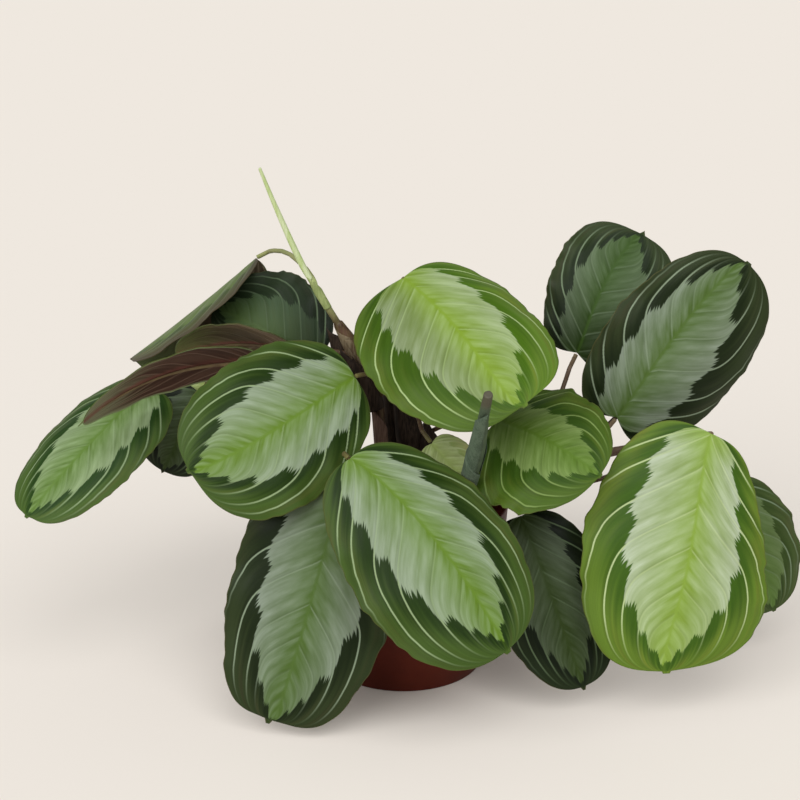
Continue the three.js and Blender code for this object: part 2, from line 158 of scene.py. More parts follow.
def object_from(name, mesh, *materials):
    """A mesh as an object of the scene, with its materials in order."""
    piece = bpy.data.objects.new(name, mesh)
    bpy.context.scene.collection.objects.link(piece)
    for material in materials:
        mesh.materials.append(material)
    return piece


def work_in(piece):
    """Works the piece's modifiers into its mesh and takes them off."""
    shaped = bpy.data.meshes.new_from_object(piece.evaluated_get(bpy.context.evaluated_depsgraph_get()))
    piece.modifiers.clear()
    piece.data = shaped
    shade_smooth(shaped)


def thicken(piece, thickness, under=0):
    """Gives a sheet its thickness in millimetres, and its lower side another of its materials."""
    sheet = piece.modifiers.new("sheet", "SOLIDIFY")
    sheet.thickness = thickness * MM
    sheet.offset = 0
    sheet.material_offset = under


def finish_piece(piece, slot_name, *nodes):
    """The piece rides on the plant and stands for the solids that are named; the slot name is not used."""
    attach(piece, "root")
    if nodes:
        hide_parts(*nodes)
    print(piece.name, "faces:", len(piece.data.polygons))


# %% [markdown]
# ## The leaves' form
# A prayer plant's blade is an oval with a small pointed tip. It arches along its midrib, folds a little at
# it, curls towards its margins and ripples at the edge. One formula holds all of that, the same one that the
# solids were made with: v runs from the base to the tip, and u from 1 at the left margin, through 0 at the
# midrib, to -1 at the right margin. Every leaf is one row of sizes in a table, in millimetres and degrees,
# so a leaf can be bent or widened by changing one number. What a row leaves out is as on a usual leaf.

# %% The table of leaves
USUAL_LEAF = dict(
    arch=8, bow=0, fold=(0, 0), curl=(-15, -15), full=0.8, belly=(0.07, 0.07), lobe=8, wave=1, blunt=0,
    rib=(0, 0, 0), sweep=1, feather=0.54, feather_end=0.95, under="rosy")
LEAVES = {
    "leaf_top_centre": dict(
        base=(0, 5, 231), tip=(66, -76, 184), face=(-0.25, -0.6, 0.75), half=(47, 53), arch=10, fold=(-10, 0),
        curl=(-38, -15), full=0.62, belly=(-0.08, 0.06), skin="bright", rib=(0, 0, -0.14), blunt=0.02),
    "leaf_left_centre": dict(
        base=(-27, -28, 185), tip=(-117, -82, 150), face=(-0.1, -0.92, 0.36), half=(47, 41), curl=(-8, -25),
        full=0.7, belly=(-0.12, 0.05), lobe=2, skin="fresh", rib=(0, 0.09, 0.08), blunt=0.02),
    "leaf_front_centre": dict(
        base=(-29, -76, 156), tip=(57, -128, 65), face=(0.1, -0.75, 0.7), half=(47, 46), fold=(-5, -5),
        curl=(-15, -20), belly=(-0.06, -0.12), lobe=4, skin="fresh", rib=(0.12, 0.13, 0.02),
        feather_end=0.92, sweep=0.95, blunt=0.022),
    "leaf_low_left": dict(
        base=(-35, -68, 136), tip=(-75, -98, 7), face=(-0.15, -0.95, 0.3), half=(49, 42), arch=6,
        curl=(-15, -12), full=0.5, belly=(0.08, 0.14), lobe=14, skin="deep", rib=(0.04, 0.09, 0.12),
        feather=0.58, feather_end=0.98, sweep=1.15, blunt=0.015),
    "leaf_far_left": dict(
        base=(-144, 2, 167), tip=(-208, -56, 111), face=(-0.3, -0.6, 0.75), half=(33, 35), fold=(-5, -5),
        curl=(-30, -30), full=0.7, skin="middle", rib=(0, 0.09, 0.02), wave=0.4, blunt=0.02),
    "leaf_high_left": dict(
        base=(-85, 54, 227), tip=(-160, 44, 168), face=(-0.4, 0.42, 0.8), half=(38, 40), arch=-1,
        fold=(-22, -45), curl=(-8, -50), belly=(0.07, -0.3), lobe=4, skin="bronzed", under="ashy", wave=0.4,
        blunt=0.02),
    "leaf_turned_low": dict(
        base=(-83, 2, 183), tip=(-174, -64, 170), face=(-0.25, 0.6, 0.75), half=(23, 18), arch=11,
        fold=(12, -12), curl=(-12, -12), belly=(-0.15, 0.07), lobe=4, skin="middle", wave=0.3),
    "leaf_turned_high": dict(
        base=(-58, 3, 188), tip=(-131, 16, 181), face=(-0.1, 0.7, 0.7), half=(37, 15), arch=7, fold=(-5, -10),
        curl=(-5, -10), full=1.1, lobe=4, skin="deep", under="dusty", wave=0.3),
    "leaf_back_left": dict(
        base=(-49, 24, 176), tip=(-110, 45, 202), face=(0.25, -0.88, 0.35), half=(22, 38), arch=6, lobe=4,
        skin="painted_deep_shade"),
    "leaf_small_dark": dict(
        base=(-115, 12, 159), tip=(-138, 2, 115), face=(0, -0.9, 0.3), half=(26, 26), arch=4, lobe=5,
        skin="shaded"),
    "leaf_small_pale": dict(
        base=(-110, 24, 168), tip=(-126, 14, 145), face=(0, -0.9, 0.3), half=(20, 20), arch=4, lobe=3,
        skin="plain"),
    "leaf_right_centre": dict(
        base=(52, -22, 157), tip=(108, -62, 139), face=(0.1, -0.7, 0.7), half=(37, 47), lobe=3,
        skin="grassy", feather=0.44, blunt=0.02),
    "leaf_pale_low": dict(
        base=(15.6, -32, 147), tip=(38, -38, 121), face=(-0.2, -0.75, 0.65), half=(15, 15), arch=2,
        curl=(-10, -10), belly=(0, 0), lobe=3, skin="plain"),
    "leaf_upper_right_small": dict(
        base=(99, 25, 180), tip=(138, 55, 243), face=(-0.1, -0.9, 0.35), half=(36, 34), arch=6,
        curl=(-15, -20), full=0.62, belly=(-0.15, 0), skin="dusk", rib=(0, 0.14, 0.1)),
    "leaf_upper_right_large": dict(
        base=(120, -5, 152), tip=(194, 15, 239), face=(0.1, -0.9, 0.35), half=(40, 46), arch=6, fold=(0, -5),
        curl=(-10, -40), lobe=14, skin="deep", rib=(0, 0.15, 0.22), feather=0.53, feather_end=0.97,
        sweep=1.06, blunt=0.024),
    "leaf_front_right": dict(
        base=(169, -35, 154), tip=(144, -85, 29), face=(0, -0.8, 0.6), half=(56, 51), arch=10, bow=-8,
        fold=(-12, 0), curl=(-20, -10), full=0.62, belly=(-0.3, -0.02), lobe=2, skin="lime",
        rib=(0, 0.14, -0.1), feather=0.58, feather_end=0.94, sweep=1.1, blunt=0.024),
    "leaf_far_right": dict(
        base=(187, 10, 102), tip=(217, 0, 27), face=(0.2, -0.9, 0.4), half=(29, 33), full=0.9, skin="leafy",
        blunt=0.02),
    "leaf_low_right": dict(
        base=(65, -36, 105), tip=(101, -72, 14), face=(0.1, -0.95, 0.3), half=(33, 32), arch=6, lobe=2,
        skin="shaded", blunt=0.015),
}

# %% The leaves at the back
REAR_LEAF = USUAL_LEAF | dict(fold=(-5, -5), curl=(-20, -20), full=0.75)
REAR_LEAVES = {
    "leaf_rear_centre": dict(
        base=(6, 32, 200), tip=(38, 112, 150), face=(0, 0.5, 0.85), half=(38, 38), skin="fresh",
        rib=(0, 0.05, 0)),
    "leaf_rear_right": dict(
        base=(146, 35, 150), tip=(176, 105, 130), face=(0.2, 0.5, 0.85), half=(30, 30), lobe=6, skin="deep",
        rib=(0, -0.05, 0)),
    "leaf_rear_left": dict(
        base=(-48, 35, 160), tip=(-80, 115, 125), face=(-0.2, 0.5, 0.85), half=(38, 38), skin="middle",
        rib=(0, 0.06, 0)),
    "leaf_rear_low": dict(
        base=(45, 25, 120), tip=(58, 110, 75), face=(0, 0.5, 0.85), half=(34, 34), skin="fresh",
        rib=(0, -0.06, 0)),
    "leaf_rear_far_right": dict(
        base=(160, 25, 120), tip=(172, 90, 60), face=(0.2, 0.7, 0.7), half=(30, 30), lobe=6, skin="lime",
        rib=(0, 0.05, 0)),
}
leaves = {name: USUAL_LEAF | row for name, row in LEAVES.items()}
leaves |= {name: REAR_LEAF | row for name, row in REAR_LEAVES.items()}
print("leaves in the tables:", len(leaves))

# %% [markdown]
# The outline is a circle's arc raised to a power, which makes it fuller or slimmer, and `belly` moves its
# widest place. A short spur takes over where the arc ends, for the pointed tip. The cross-section is an arc
# of a circle on each side of the midrib, so a curled half bends evenly and its margin stays one smooth line.

# %% The blade's outline and directions
BODY_END = 0.965
SPUR_START, SPUR_SLOPE, SPUR_WIDEST = 0.85, 1.44, 0.2
NARROWEST = 0.03


def outline_share(v, full, belly):
    """Half the blade's width at v, as a share of its widest half."""
    side = 1 - 2 * np.minimum(v / BODY_END, 1)
    body = np.sqrt(np.maximum(1 - side**2, 0)) ** full * (1 + belly * side)
    spur = np.where(v > SPUR_START, np.minimum(SPUR_SLOPE * (1 - v), SPUR_WIDEST), 0)
    return np.maximum(np.maximum(body, spur), NARROWEST * (1 - 0.9 * v))


def leaf_axes(leaf):
    """Where the blade starts, how long it is, and its own x, y and z directions in the plant."""
    base = np.array(leaf["base"], float)
    along = np.array(leaf["tip"], float) - base
    length = np.linalg.norm(along)
    along /= length
    face = np.array(leaf["face"], float)
    face -= along * (face @ along)
    face /= np.linalg.norm(face)
    return base, length, np.stack([np.cross(along, face), along, face])


def normalised(vectors):
    """The vectors with their lengths made 1."""
    return vectors / np.linalg.norm(vectors, axis=-1, keepdims=True)


# %% The blade's surface
WAVE_HEIGHT, WAVES = 1.8, 3.5
FLUTE_HEIGHT, FLUTES = 0.3, 9


def blade_points(leaf, u, v):
    """Points of the blade's middle surface in millimetres, for arrays u and v."""
    base, length, axes = leaf_axes(leaf)
    side, sign = np.where(u > 0, 0, 1), np.where(u > 0, -1, 1)
    bow, arch = leaf["bow"], leaf["arch"]
    hump, slope = 4 * v * (1 - v), 4 - 8 * v
    middle = np.stack([-bow * hump, length * v, arch * hump], -1)
    tangent = normalised(np.stack([-bow * slope, np.full_like(v, length), arch * slope], -1))
    sideways = normalised(np.cross(tangent, [0, 0, 1]))
    outward = np.cross(sideways, tangent)
    half, belly, fold, curl = (np.array(leaf[key], float)[side] for key in ("half", "belly", "fold", "curl"))
    fold, curl = np.radians(fold), np.radians(curl)
    across = half * outline_share(v, leaf["full"], belly) * np.abs(u)
    angle = fold + curl * across / half
    aside = half / curl * (np.sin(angle) - np.sin(fold))
    lift = -half / curl * (np.cos(angle) - np.cos(fold))
    ripple = np.sin(2 * np.pi * WAVES * v + 2 * side) * np.sin(np.pi * v) * leaf["wave"]
    flute = np.sin(2 * np.pi * FLUTES * v + 5 * side) * np.sin(np.pi * v) * leaf["wave"]
    lift += WAVE_HEIGHT * np.abs(u) ** 3 * ripple + FLUTE_HEIGHT * np.abs(u) ** 8 * flute
    back = leaf["lobe"] * (1 - (1 - across / half) ** 2) * (1 - v) ** 3
    local = middle + sideways * (sign * aside)[..., None] + outward * lift[..., None]
    local -= tangent * back[..., None]
    return base + local @ axes


# %% [markdown]
# ## The leaves' veins
# Side veins leave the midrib at a slant, run nearly straight through the silver feather and then sweep round
# to follow the margin. Everything on the blade obeys them: the feather's teeth, its fine streaks and the
# quilting between two veins. So each point of the blade gets a number that is the same all along one vein.
# It is found by halving: for a point at r of the way to the margin, which place s on the midrib does its
# vein start from? The main veins then lie where this number, counted out in vein spacings, is whole.

# %% Which vein a point lies on
VEIN_SLANT = 0.38
VEIN_SWEEP, VEIN_SWEEP_POWER = 0.62, 13
VEIN_REACH, VEIN_NARROWING = 1.07, 1.1
VEIN_NARROWEST, VEIN_LONGEST = 0.02, 1.6
VEIN_FAN, VEIN_FAN_DEPTH = 1.2, 0.18
VEIN_STARTS = (-0.14, -0.03, 0.12, 0.29, 0.46, 0.62, 0.76, 0.88)
VEIN_JITTER = 0.022
FIRST_GAP, LAST_GAP = 0.4, 0.12
FIRST_START, LAST_START = -0.7, 0.999
HALVINGS = 30


def vein_rise(s, r, reach):
    """How far along the blade the vein from s has come when it is r of the way to the margin."""
    late = np.maximum(s, 0)
    widest = reach * (VEIN_REACH - VEIN_NARROWING * late) + VEIN_FAN * np.maximum(-s, 0)
    share = np.minimum(r / np.maximum(widest, VEIN_NARROWEST), VEIN_LONGEST)
    start = np.where(s < 0, s * (1 - np.exp(-r / VEIN_FAN_DEPTH)), s)
    return start + (1 - start) * (VEIN_SLANT * share + VEIN_SWEEP * share**VEIN_SWEEP_POWER)


def vein_start(r, v, reach):
    """The place on the midrib from which the vein through (r, v) starts, found by halving."""
    low, high = np.full_like(v, FIRST_START), np.full_like(v, LAST_START)
    for _ in range(HALVINGS):
        half_way = (low + high) / 2
        short = vein_rise(half_way, r, reach) < v
        low, high = np.where(short, half_way, low), np.where(short, high, half_way)
    return (low + high) / 2


def vein_count(s, seed):
    """The vein number of a place s on the midrib: whole numbers are main veins, unevenly spaced."""
    rng = np.random.default_rng(seed)
    places = np.array(VEIN_STARTS) + rng.uniform(-VEIN_JITTER, VEIN_JITTER, len(VEIN_STARTS))
    places = np.concatenate([[places[0] - FIRST_GAP], places, [places[-1] + LAST_GAP]])
    return np.interp(s, places, np.concatenate([[-3], np.arange(len(VEIN_STARTS) + 1)]))


# %% [markdown]
# ## A blade as a mesh
# The blade starts as a flat grid, and each of its points is moved to where the formula puts it. That keeps
# the faces in neat rows, which a leaf's veins and a smooth bend both like. The numbers that the finish needs
# are kept in four maps on the mesh, because they follow the surface however it bends: where a point lies on
# the blade, its vein number with the real distance between veins, how far it is from the margin and from the
# feather's edge, and how far from the midrib. The sheet sinks into a crease over the midrib and bulges a
# little between two veins. A Solidify step gives it its thickness and puts the underside's own skin on it.

# %% What a blade's grid needs
ROWS, COLUMNS = 112, 56
MARGIN_WANDER, MARGIN_SEED = 0.016, 1000


def rib_line(leaf, v):
    """How far the midrib wanders from the blade's middle, as a share of the half width."""
    start, middle, end = leaf["rib"]
    return start * (1 - v) * (1 - 2 * v) + 4 * middle * v * (1 - v) + end * v * (2 * v - 1)


def spacing(points, number):
    """Millimetres from one whole vein number to the next, at each point of the grid."""
    along_row, along_column = np.gradient(points, axis=0), np.gradient(points, axis=1)
    n_row, n_column = np.gradient(number, axis=0), np.gradient(number, axis=1)
    rr, cc, rc = (np.sum(a * b, -1) for a, b in (
        (along_row, along_row), (along_column, along_column), (along_row, along_column)))
    area = np.maximum(rr * cc - rc**2, 1e-9)
    steepness = (cc * n_row**2 - 2 * rc * n_row * n_column + rr * n_column**2) / area
    return 1 / np.sqrt(np.maximum(steepness, 1e-6))


def margin_wander(v, seed):
    """Small uneven dents of the margin, as a share of the half width."""
    rng = np.random.default_rng(MARGIN_SEED + seed)
    dents = sum(
        rng.uniform(0.5, 1) * np.sin(2 * np.pi * (pace * v + rng.uniform(0, 1))) / pace**0.3
        for pace in (2.3, 4.1, 6.7, 9.7, 15.1))
    return MARGIN_WANDER * dents * np.sin(np.pi * v) ** 0.5


# %% One half of a blade
COLUMNS_CLOSER = 1.25
ROUGH_DEPTH = 7
QUILT, QUILT_GAP = 0.6, 9
CREASE, CREASE_WIDTH, CREASE_FADE = 0.5, 1.1, 0.3
FEATHER_TAPER = 5.5


def blade_half(leaf, side, seed):
    """One side of the midrib: its grid of points and the numbers that the finish needs."""
    v, r = np.meshgrid(np.linspace(0, 1, ROWS + 1), np.linspace(0, 1, COLUMNS // 2 + 1), indexing="ij")
    v = (1 - np.cos(np.pi * v)) / 2 * (1 - leaf["blunt"])
    r = 1 - (1 - r) ** COLUMNS_CLOSER
    rib = rib_line(leaf, v)
    rough = 1 + r**ROUGH_DEPTH * margin_wander(v, seed + side)
    u = rib + (r * rough * (1 - rib) if side == 0 else -r * rough * (1 + rib))
    flat = blade_points(leaf, u, v)
    number = vein_count(vein_start(r, v, leaf["sweep"]), seed + side)
    gap = spacing(flat, number)
    normal = normalised(np.cross(np.gradient(flat, axis=0), np.gradient(flat, axis=1)) + 1e-12)
    normal *= np.sign(normal @ leaf_axes(leaf)[2][2])[..., None]
    to_rib = np.linalg.norm(flat - flat[:, :1], axis=-1)
    to_margin = np.linalg.norm(flat - flat[:, -1:], axis=-1)
    quilt = QUILT * np.abs(np.sin(np.pi * number)) ** 0.7 * np.sin(np.pi * np.clip(r, 0, 1)) ** 0.8
    quilt *= np.clip(gap / QUILT_GAP, 0, 1)
    crease = CREASE * np.exp(-((to_rib / CREASE_WIDTH) ** 2)) * (1 - v) ** CREASE_FADE
    feather = leaf["feather"] * (1 - (v / leaf["feather_end"]) ** FEATHER_TAPER)
    maps = dict(
        place=np.stack([r if side == 0 else -r, v], -1),
        vein=np.stack([number, gap], -1),
        edges=np.stack([to_margin, r - feather], -1),
        middle=np.stack([to_rib, np.zeros_like(v)], -1))
    return flat + normal * (quilt - crease)[..., None], maps


# %% Both halves as one sheet
def blade_mesh(name, leaf, seed):
    """The blade as one sheet of faces, with its maps."""
    halves = [blade_half(leaf, side, seed) for side in (0, 1)]
    bm = bmesh.new()
    bmesh.ops.create_grid(bm, x_segments=COLUMNS, y_segments=ROWS, size=1)
    middle = COLUMNS // 2
    cells = {
        corner: (round((corner.co.y + 1) * ROWS / 2), round((corner.co.x + 1) * COLUMNS / 2))
        for corner in bm.verts}
    layers = {key: bm.loops.layers.uv.new(key) for key in ("place", "vein", "edges", "middle")}
    for face in bm.faces:
        side = 0 if min(cells[corner][1] for corner in face.verts) < middle else 1
        for loop in face.loops:
            row, column = cells[loop.vert]
            for key, layer in layers.items():
                loop[layer].uv = halves[side][1][key][row, abs(middle - column)]
    for corner, (row, column) in cells.items():
        side = 0 if column < middle else 1
        corner.co = Vector(halves[side][0][row, abs(middle - column)]) * MM
    return mesh_from(bm, name)


# %% [markdown]
# ## The upper skin
# The upper side of the leaf is a thin waxy skin over green flesh, so it is satin and never shiny. Its colour
# is a pattern of pigments and of tiny air spaces that make the feather silver. The feather is green at the
# midrib and palest at its border. Between two veins the dark green bulges into it, and the border is torn
# into fine teeth that point along the nerves; beside it the dark green is at its darkest. The pattern is
# drawn from the maps of the blade, so every tooth and streak follows its vein, and a painted shadow darkens
# one side of each vein. Leaves differ with age, so each skin is one row of colours; the shaded rows are
# darker copies, painted shade for leaves that lie in the shadow of others. A row may also say how far the
# midrib's green reaches into the feather, and how much painted shade darkens the right half or the base,
# where a leaf is turned from the light.

# %% Colours of the skins
# Two numbers of a row darken the right half or the base of a blade: painted shade for a part turned from the
# light.
USUAL_SKIN = dict(
    green_reach=0.52, tip_silver=0.66, painted_shade_right=0, painted_shade_base=0, hem="#5e5a34", hem_reach=0.8, hem_share=0.4)
SKINS = {
    "bright": dict(
        rib="#79952f", silver="#a1b08b", deep="#436410", rim="#5b7828", vein="#a3b87d",
        green_reach=0.68, painted_shade_right=0.32),
    "lime": dict(
        rib="#7f9a3d", silver="#a9b59a", deep="#3a5816", rim="#5b7526", vein="#b4c48e", green_reach=0.64,
        tip_silver=0.5, painted_shade_right=0.05),
    "fresh": dict(
        rib="#5f7d26", silver="#8a997f", deep="#1e3209", rim="#3e5420", vein="#8fa277", painted_shade_right=0.06),
    "middle": dict(rib="#5c7935", silver="#84976f", deep="#233d12", rim="#425a24", vein="#869a71"),
    "deep": dict(
        rib="#4b632c", silver="#828c7f", deep="#17220c", rim="#2b361c", vein="#84937a", green_reach=0.8),
    "dusk": dict(
        rib="#36501a", silver="#5f6e55", deep="#1a2711", rim="#313d22", vein="#6f8064", green_reach=0.66,
        painted_shade_base=0.5),
    # The next two rows are painted shade: darker copies of a green for leaves that lie in the shadow of
    # others.
    "shaded": dict(rib="#31411a", silver="#4a5641", deep="#10190a", rim="#1e2914", vein="#5c6e50"),
    "painted_deep_shade": dict(
        rib="#4c6034", silver="#42553a", deep="#24321d", rim="#2c3825", vein="#5a6b50", painted_shade_base=0.65),
    "leafy": dict(rib="#587436", silver="#5f7247", deep="#36481f", rim="#41522a", vein="#75876a"),
    "grassy": dict(rib="#587627", silver="#748a4f", deep="#314c0f", rim="#465f1d", vein="#7a9150"),
    "bronzed": dict(
        rib="#5d7038", silver="#5f7340", deep="#41552b", rim="#5f6b3c", vein="#72835a", hem="#44382c",
        hem_reach=20.0, hem_share=0.85),
    "plain": dict(rib="#a6ba6c", silver="#b4c487", deep="#9bae68", rim="#a8ba76", vein="#c2cf9b"),
}


# %% Reading the maps
HALVES_APART = 7.3


def read_map(tree, name):
    """The two numbers of one of the blade's maps."""
    split = add(tree, "SeparateXYZ", add(tree, "UVMap", uv_map=name))
    return split, split.node.outputs[1]


def blade_numbers(tree):
    """All that a skin may ask about a point of the blade."""
    at = SimpleNamespace()
    at.place, at.v = read_map(tree, "place")
    at.number, at.gap = read_map(tree, "vein")
    at.margin, at.border = read_map(tree, "edges")
    at.to_rib, _ = read_map(tree, "middle")
    at.r = add(tree, "Math", at.place, operation="ABSOLUTE")
    at.side = add(tree, "Math", at.place, operation="SIGN")
    whole = add(tree, "Math", at.number, operation="ROUND")
    at.from_vein = product(tree, add(tree, "Math", at.number, whole, operation="SUBTRACT"), at.gap)
    at.to_vein = add(tree, "Math", at.from_vein, operation="ABSOLUTE")
    return at


def nerve_noise(tree, at, fine, reach, start=0.0, detail=2.0):
    """Noise that runs along the nerves: fine from one nerve to the next, slow along each of them."""
    vector = add(
        tree, "CombineXYZ", product(tree, at.number, fine),
        add(tree, "Math", at.r, reach, start, operation="MULTIPLY_ADD"),
        product(tree, at.side, HALVES_APART))
    return add(tree, "TexNoise", {"Vector": vector, "Scale": 1.0, "Detail": detail})


# %% The feather and the green
STREAKS = 13.0
TEETH, TOOTH_PEAK, BARB = 8.0, 0.72, 0.046
BULGE, BULGE_SKEW = 0.044, 1.27
WANDER, WANDER_PACE, TOOTH_WANDER = 0.09, 2.6, 3.0
BORDER_BLUR = 0.014
MOTTLE = (1.22, 0.95, 1.1, 1.0)
TINT = dict(out=2, data_type="RGBA", blend_type="MULTIPLY")


def feather_mask(tree, at):
    """1 inside the silver feather, 0 outside: the dark bulges in between two veins, with torn teeth."""
    wander = nerve_noise(tree, at, WANDER_PACE, 0.0)
    share = add(tree, "Math", at.number, operation="FRACT")
    turn = product(tree, add(tree, "Math", share, BULGE_SKEW, operation="POWER"), 2 * math.pi)
    bulge = product(tree, add(tree, "Math", turn, operation="COSINE"), BULGE)
    shift = product(tree, wander, TOOTH_WANDER)
    tooth = add(tree, "Math", at.number, TEETH, shift, operation="MULTIPLY_ADD")
    tooth = add(tree, "Math", tooth, operation="FRACT")
    rest = add(tree, "Math", 1.0, tooth, operation="SUBTRACT")
    rising = add(tree, "Math", tooth, TOOTH_PEAK, operation="DIVIDE")
    falling = add(tree, "Math", rest, 1 - TOOTH_PEAK, operation="DIVIDE")
    tooth = add(tree, "Math", rising, falling, operation="MINIMUM")
    size = product(
        tree, add(tree, "MapRange", share, 0.45, 0.9, 1.0, 0.5, **SOFT), BARB,
        nerve_noise(tree, at, 5.0, 0.0, start=3.0), 2.0)
    reach = add(tree, "Math", tooth, size, bulge, operation="MULTIPLY_ADD")
    edge = add(tree, "Math", at.border, sway(tree, wander, WANDER, reach), operation="SUBTRACT")
    return add(tree, "MapRange", edge, -BORDER_BLUR, BORDER_BLUR, 1.0, 0.0, **SOFT)


def feather_colour(tree, at, colours):
    """Green at the midrib and silver at the border, unevenly, and less silver at the leaf's two ends."""
    paleness = sway(tree, at.broad, 0.4, sway(tree, at.soft, 0.5, at.r))
    paleness = add(tree, "Math", at.sharp, 0.2, paleness, operation="MULTIPLY_ADD")
    paleness = product(
        tree, add(tree, "MapRange", paleness, -0.04, colours["green_reach"]),
        add(tree, "MapRange", at.v, 0.0, 0.13, 0.15, 1.0, **SOFT),
        add(tree, "MapRange", at.v, 0.5, 1.0, 1.0, colours["tip_silver"], **SOFT))
    return coats(tree, colours["rib"], (paleness, colours["silver"]))


def green_colour(tree, at, colours):
    """Darkest beside the feather, lighter and mottled towards the margin."""
    outside = add(tree, "Math", at.broad, 0.4, at.border, operation="MULTIPLY_ADD")
    outside = add(tree, "MapRange", outside, 0.26, 0.6, **SOFT)
    green = coats(tree, colours["deep"], (outside, colours["rim"]))
    mottle = nerve_noise(tree, at, 1.3, 5.0, detail=3.0)
    mottle = product(tree, add(tree, "MapRange", mottle, 0.42, 0.68, **SOFT), outside)
    return add(tree, "Mix", {0: mottle, 6: green, 7: MOTTLE}, **TINT)


# %% The shading and the veins
def streaks_and_painted_shade(tree, at, colours):
    """How light the skin is: streaked and blotched, with painted shade beside each vein, on the right half
    and at the base.
    """
    shade = add(tree, "Math", at.sharp, 0.28, 1.0, operation="MULTIPLY_ADD")
    shade = sway(tree, at.broad, 0.4, sway(tree, at.soft, 0.4, shade))
    # A painted shadow on one side of each vein, where the sheet dips.
    painted_vein_shadow = product(
        tree, add(tree, "MapRange", at.from_vein, -2.4, -0.5, **SOFT),
        add(tree, "MapRange", at.from_vein, -0.5, 0.0, 1.0, 0.0, **SOFT))
    return product(
        tree, add(tree, "Math", painted_vein_shadow, -0.12, shade, operation="MULTIPLY_ADD"),
        # Painted shade on the right half and on the base, as much as the skin's row asks.
        add(tree, "MapRange", at.place, -0.3, 0.0, 1 - colours["painted_shade_right"], 1.0, **SOFT),
        add(tree, "MapRange", at.v, 0.05, 0.6, 1 - colours["painted_shade_base"], 1.0, **SOFT))


def vein_line(tree, at, mask):
    """The thin pale line of a vein, fainter in the feather and fading towards margin, base and tip."""
    return product(
        tree, add(tree, "MapRange", at.to_vein, 0.15, 0.7, 1.0, 0.0, **SOFT),
        add(tree, "MapRange", at.margin, 0.6, 6.0, 0.1, 1.0, **SOFT),
        add(tree, "MapRange", mask, 0.0, 1.0, 0.9, 0.34, **SOFT),
        add(tree, "MapRange", at.number, -0.6, -0.4, **SOFT),
        add(tree, "MapRange", at.v, 0.7, 0.97, 1.0, 0.0, **SOFT),
        add(tree, "MapRange", at.number, 4.3, 5.7, 1.0, 0.25, **SOFT))


# %% The whole upper skin
def leaf_skin(name, colours):
    """The waxy upper skin of a blade: silver feather, green flesh, pale veins."""
    material, tree, shader = new_material("leaf_skin_" + name, 0.42, 0.13)
    at = blade_numbers(tree)
    at.soft, at.broad = nerve_noise(tree, at, 4.3, 4.0), nerve_noise(tree, at, 3.1, 1.3)
    streak = add(tree, "Math", nerve_noise(tree, at, STREAKS, 2.0), 0.5, operation="SUBTRACT")
    at.sharp = product(tree, streak, add(tree, "MapRange", at.r, 0.06, 0.34, 0.3, 1.0, **SOFT))
    mask = feather_mask(tree, at)
    colour = coats(tree, green_colour(tree, at, colours), (mask, feather_colour(tree, at, colours)))
    # The streaks and the painted shade, beside the veins and on the dimmed half and base, darken the colour.
    shade = streaks_and_painted_shade(tree, at, colours)
    grey = add(tree, "CombineXYZ", shade, shade, shade)
    colour = add(tree, "Mix", {0: 1.0, 6: colour, 7: grey}, **TINT)
    line = vein_line(tree, at, mask)
    rib = product(
        tree, add(tree, "MapRange", at.to_rib, 0.3, 1.4, 0.7, 0.0, **SOFT),
        add(tree, "MapRange", at.v, 0.84, 0.95, 1.0, 0.2, **SOFT))
    hem = add(tree, "MapRange", at.margin, 0.15, colours["hem_reach"], colours["hem_share"], 0.0, **SOFT)
    height = add(tree, "Math", line, -0.5, at.sharp, operation="MULTIPLY_ADD")
    connect(tree, shader, {
        "Base Color": coats(
            tree, colour, (line, colours["vein"]), (rib, colours["rib"]), (hem, colours["hem"])),
        "Roughness": add(tree, "MapRange", at.soft, 0.3, 0.7, 0.36, 0.5, **SOFT),
        "Normal": add(tree, "Bump", {"Strength": 0.25, "Distance": 0.4 * MM, "Height": height})})
    return material


skins = {name: leaf_skin(name, USUAL_SKIN | row) for name, row in SKINS.items()}
print("upper skins:", sorted(skins))

# %% [markdown]
# ## The underside
# Below, the leaf is washed with wine-red pigment, deepest between the veins, with a pinkish midrib and a
# narrow green hem where the skin of the upper side shows through. Towards the tip it is worn to a dull green.
# It is duller than the upper side, because its skin is finely hairy.

# %% Colours of the undersides
UNDERSIDES = {
    "ashy": dict(
        flesh="#4a4030", patch="#544a38", line="#6e6450", tip="#64704a", rib="#5f483c", hem="#5f7040"),
    "dusty": dict(
        flesh="#65553f", patch="#7c6a55", line="#94836e", tip="#848458", rib="#9a625c", hem="#80905c"),
    "rosy": dict(
        flesh="#4b352b", patch="#5f473b", line="#7c6455", tip="#7d7e62", rib="#774b42", hem="#8a9a6c"),
}


def leaf_underside(name, colours):
    """The matt underside of a blade."""
    material, tree, shader = new_material("leaf_underside_" + name, 0.62, 0.15)
    at = blade_numbers(tree)
    streak, broad = nerve_noise(tree, at, STREAKS, 2.0), nerve_noise(tree, at, 2.2, 1.6)
    line = add(tree, "MapRange", at.to_vein, 0.15, 0.8, 0.8, 0.0, **SOFT)
    shares = dict(
        patch=add(tree, "MapRange", broad, 0.35, 0.7, **SOFT),
        line=line,
        tip=add(tree, "MapRange", sway(tree, broad, 0.6, at.v), 0.5, 0.9, **SOFT),
        rib=add(tree, "MapRange", sway(tree, broad, -9.0, at.to_rib), 0.5, 4.5, 0.8, 0.0, **SOFT),
        hem=add(tree, "MapRange", at.margin, 0.4, 1.8, 1.0, 0.0, **SOFT))
    height = add(tree, "Math", line, 0.8, streak, operation="MULTIPLY_ADD")
    connect(tree, shader, {
        "Base Color": coats(
            tree, colours["flesh"], *((share, colours[layer]) for layer, share in shares.items())),
        "Normal": add(tree, "Bump", {"Strength": 0.4, "Distance": 0.5 * MM, "Height": height})})
    return material


